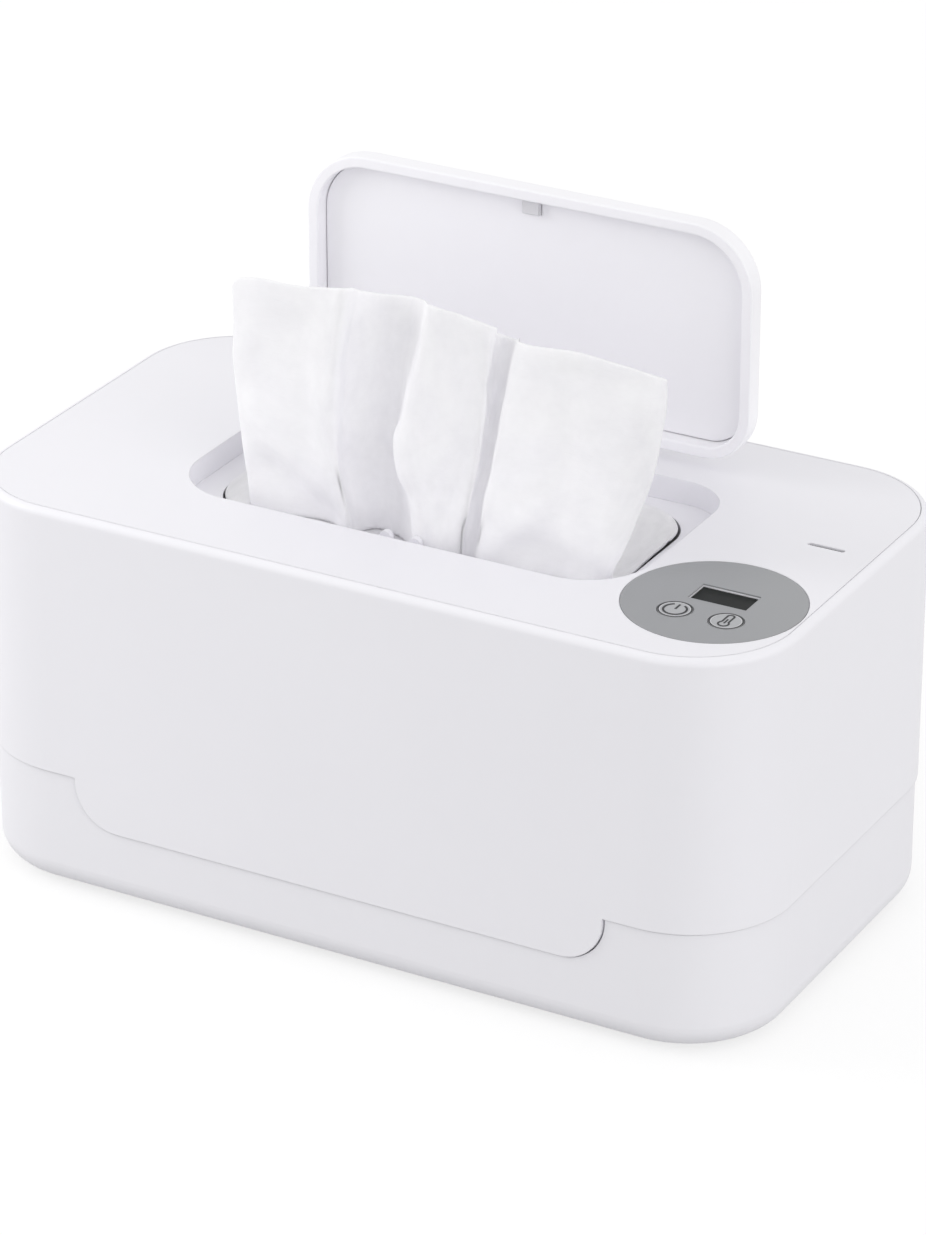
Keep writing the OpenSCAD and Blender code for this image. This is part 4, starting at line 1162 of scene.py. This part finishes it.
    def ply(self, mesh: Mesh, layer: bmesh.types.BMLayerItem, lines: list[list[Vector]],
            rows: int, put: Callable[[list[Vector], float, float], Vector]) -> None:
        """Adds one pleated layer of the sheet.

        Args:
            mesh: the sheet's mesh.
            layer: its texture coordinates.
            lines: the fold lines that the layer follows, each from its low end up.
            rows: how many rows of faces it has.
            put: gives a point's place from the folds, how far along them it is and how far up.
        """
        columns = (len(lines) - 1) * self.steps
        grid = []
        for row in range(rows + 1):
            rise = row / rows
            across = [eased(line, 3 * rise) for line in lines]
            grid.append([mesh.verts.new(put(across, column / self.steps, rise))
                         for column in range(columns + 1)])
        for row in range(rows):
            for column in range(columns):
                face = mesh.faces.new((grid[row][column], grid[row][column + 1],
                                       grid[row + 1][column + 1], grid[row + 1][column]))
                face.smooth = True
                for loop, (right, up) in zip(face.loops, ((0, 0), (1, 0), (1, 1), (0, 1))):
                    loop[layer].uv = ((column + right) / columns * self.pattern[0],
                                      (row + up) / rows * self.pattern[1])

    def place(self, across: list[Vector], at: float, rise: float) -> Vector:
        """Places a point of the pleats, with their soft creases.

        Args:
            across: the fold lines' places at this height.
            at: how far along the folds.
            rise: 0 at the bottom and 1 at the top edge.

        Returns:
            The point.
        """
        point = eased(across, at)
        along = eased(across, min(at + 0.05, len(across) - 1)) - eased(across, max(at - 0.05, 0.0))
        out = Vector((along.y, -along.x, 0.0)).normalized()
        loose = max(3 * rise - 1.0, 0.0) / 2
        soft = waver(point.x * 38, point.z * 16, 3.1) * self.sway * (0.3 + loose)
        rumple = waver(point.x * 95, point.z * 60, 9.4) * self.rumple
        fine = waver(point.x * 190, point.z * 140, 17.0) * self.fine
        push = sum(crease.push(point.x / MM, point.z / MM) for crease in self.creases) * MM
        lift = waver(point.x * 60, 0.0, 23.0) * self.ragged * rise ** 6
        return point + out * (soft + rumple + fine + push) + Vector((0.0, 0.0, lift))

    def lie(self, across: list[Vector], at: float, rise: float) -> Vector:
        """Places a point of the part that lies in the opening, rumpled up and down.

        Args:
            across: the fold lines' places at this share of their length.
            at: how far along the folds.
            rise: 0 at the tucked end and 1 at the front edge.

        Returns:
            The point.
        """
        point = eased(across, at)
        soft = waver(point.x * 45, point.y * 30, 5.2) * self.lying_rumple
        fine = waver(point.x * 120, point.y * 80, 8.8) * self.lying_fine
        return point + Vector((0.0, 0.0, (soft + fine) * min(3 * rise, 1.0)))


@dataclass
class Studio:
    """Floor, soft light and the camera at the photo's viewing angle.

    The turns are degrees from the front towards the right, and the rises degrees above the floor.
    """

    azimuth: float = 29.0
    elevation: float = 25.91
    distance: float = 1.47274
    target: Point = (-0.06903, 0.12966, 0.0)
    focal_pixels: float = 5161.94
    photo_height: float = 1235.0
    sensor: float = 36.0
    middle: Point = (0.0, 0.0, 0.07)
    floor_radius: float = 8.0
    floor_lit: float = 0.55
    floor_seen: float = 0.3
    floor_glow: float = 0.72
    sky: float = 0.85
    lamp_turn: float = 67.0
    lamp_rise: float = 6.0
    lamp_power: float = 1.13
    lamp_spread: float = 60.0
    lamp_distance: float = 2.0
    box_turn: float = -66.0
    box_rise: float = 23.0
    box_distance: float = 0.8
    box_size: float = 0.45
    box_power: float = 1.74

    def camera(self) -> None:
        """Makes the camera."""
        data = bpy.data.cameras.new("photo_camera")
        data.sensor_width = self.sensor
        data.lens = self.focal_pixels / self.photo_height * self.sensor
        data.clip_start, data.clip_end = 0.05, 50.0
        back = outward(self.azimuth, self.elevation)
        bpy.context.scene.camera = self.aim(data, self.target, back, self.distance)

    def seen(self, w: Wiring) -> Socket:
        """Tells the rays that should see the background from those that light the object.

        Args:
            w: the wiring of the material or world.

        Returns:
            1 for rays from the camera, from gloss and through glass, else 0.
        """
        path = w.add("ShaderNodeLightPath")
        mirror = w.maths("MAXIMUM", path.outputs["Is Camera Ray"], path.outputs["Is Glossy Ray"])
        return w.maths("MAXIMUM", mirror, path.outputs["Is Transmission Ray"])

    def light(self) -> None:
        """Makes the pale surroundings, a broad soft lamp and a soft box."""
        world = bpy.data.worlds.new("pale_room")
        bpy.context.scene.world = world
        w = emptied(world)
        lit = w.add("ShaderNodeBackground", {"Color": WHITE, "Strength": self.sky})
        shown = w.add("ShaderNodeBackground", {"Color": WHITE, "Strength": 1.0})
        both = w.add("ShaderNodeMixShader", {0: self.seen(w), 1: lit.outputs[0], 2: shown.outputs[0]})
        w.add("ShaderNodeOutputWorld", {"Surface": both.outputs[0]})
        lamp = bpy.data.lights.new("broad_lamp", "SUN")
        lamp.energy = self.lamp_power
        lamp.angle = math.radians(self.lamp_spread)
        self.aim(lamp, self.middle, outward(self.lamp_turn, self.lamp_rise), self.lamp_distance)
        box = bpy.data.lights.new("soft_box", "AREA")
        box.shape = "DISK"
        box.size = self.box_size
        box.energy = self.box_power
        self.aim(box, self.middle, outward(self.box_turn, self.box_rise), self.box_distance)

    def aim(self, data: bpy.types.Camera | bpy.types.Light, goal: Point, way: Vector,
            distance: float) -> bpy.types.Object:
        """Places a camera or a lamp and turns it to a point.

        Args:
            data: the camera or the lamp; its object gets the same name.
            goal: the point that it looks at.
            way: the direction from the point to it.
            distance: how far away it stands.

        Returns:
            Its object.
        """
        piece = add_object(data.name, data)
        piece.location = Vector(goal) + way * distance
        piece.rotation_mode = "QUATERNION"
        piece.rotation_quaternion = (-way).to_track_quat("-Z", "Y")
        return piece

    def floor(self) -> None:
        """Makes the plain pale floor, which keeps a soft shadow."""
        mesh = bmesh.new()
        bmesh.ops.create_circle(mesh, cap_ends=True, segments=96, radius=self.floor_radius)
        made = bpy.data.materials.new("pale_floor")
        w = emptied(made)
        lit = w.add("ShaderNodeBsdfDiffuse", {"Color": grey(self.floor_lit)})
        shaded = w.add("ShaderNodeBsdfDiffuse", {"Color": grey(self.floor_seen)})
        bright = w.add("ShaderNodeEmission", {"Color": WHITE, "Strength": self.floor_glow})
        shown = w.add("ShaderNodeAddShader", {0: shaded.outputs[0], 1: bright.outputs[0]})
        both = w.add("ShaderNodeMixShader", {0: self.seen(w), 1: lit.outputs[0], 2: shown.outputs[0]})
        w.add("ShaderNodeOutputMaterial", {"Surface": both.outputs[0]})
        add_mesh("floor", mesh, made)

    def build(self) -> None:
        """Makes the light and the floor."""
        self.light()
        self.floor()
        bpy.context.scene.view_settings.view_transform = "Standard"


def main() -> None:
    """Builds the sub-assemblies in order."""
    logging.basicConfig(level=logging.INFO, format="%(message)s")
    studio = Studio()
    studio.camera()
    for part in (BaseTray(), Housing(), Lid(), ControlPanel(), Electronics(), Heater(), WipeStack(),
                 RaisedWipe(), studio):
        log.info("building %s", type(part).__name__)
        part.build()


if __name__ == "__main__":
    main()
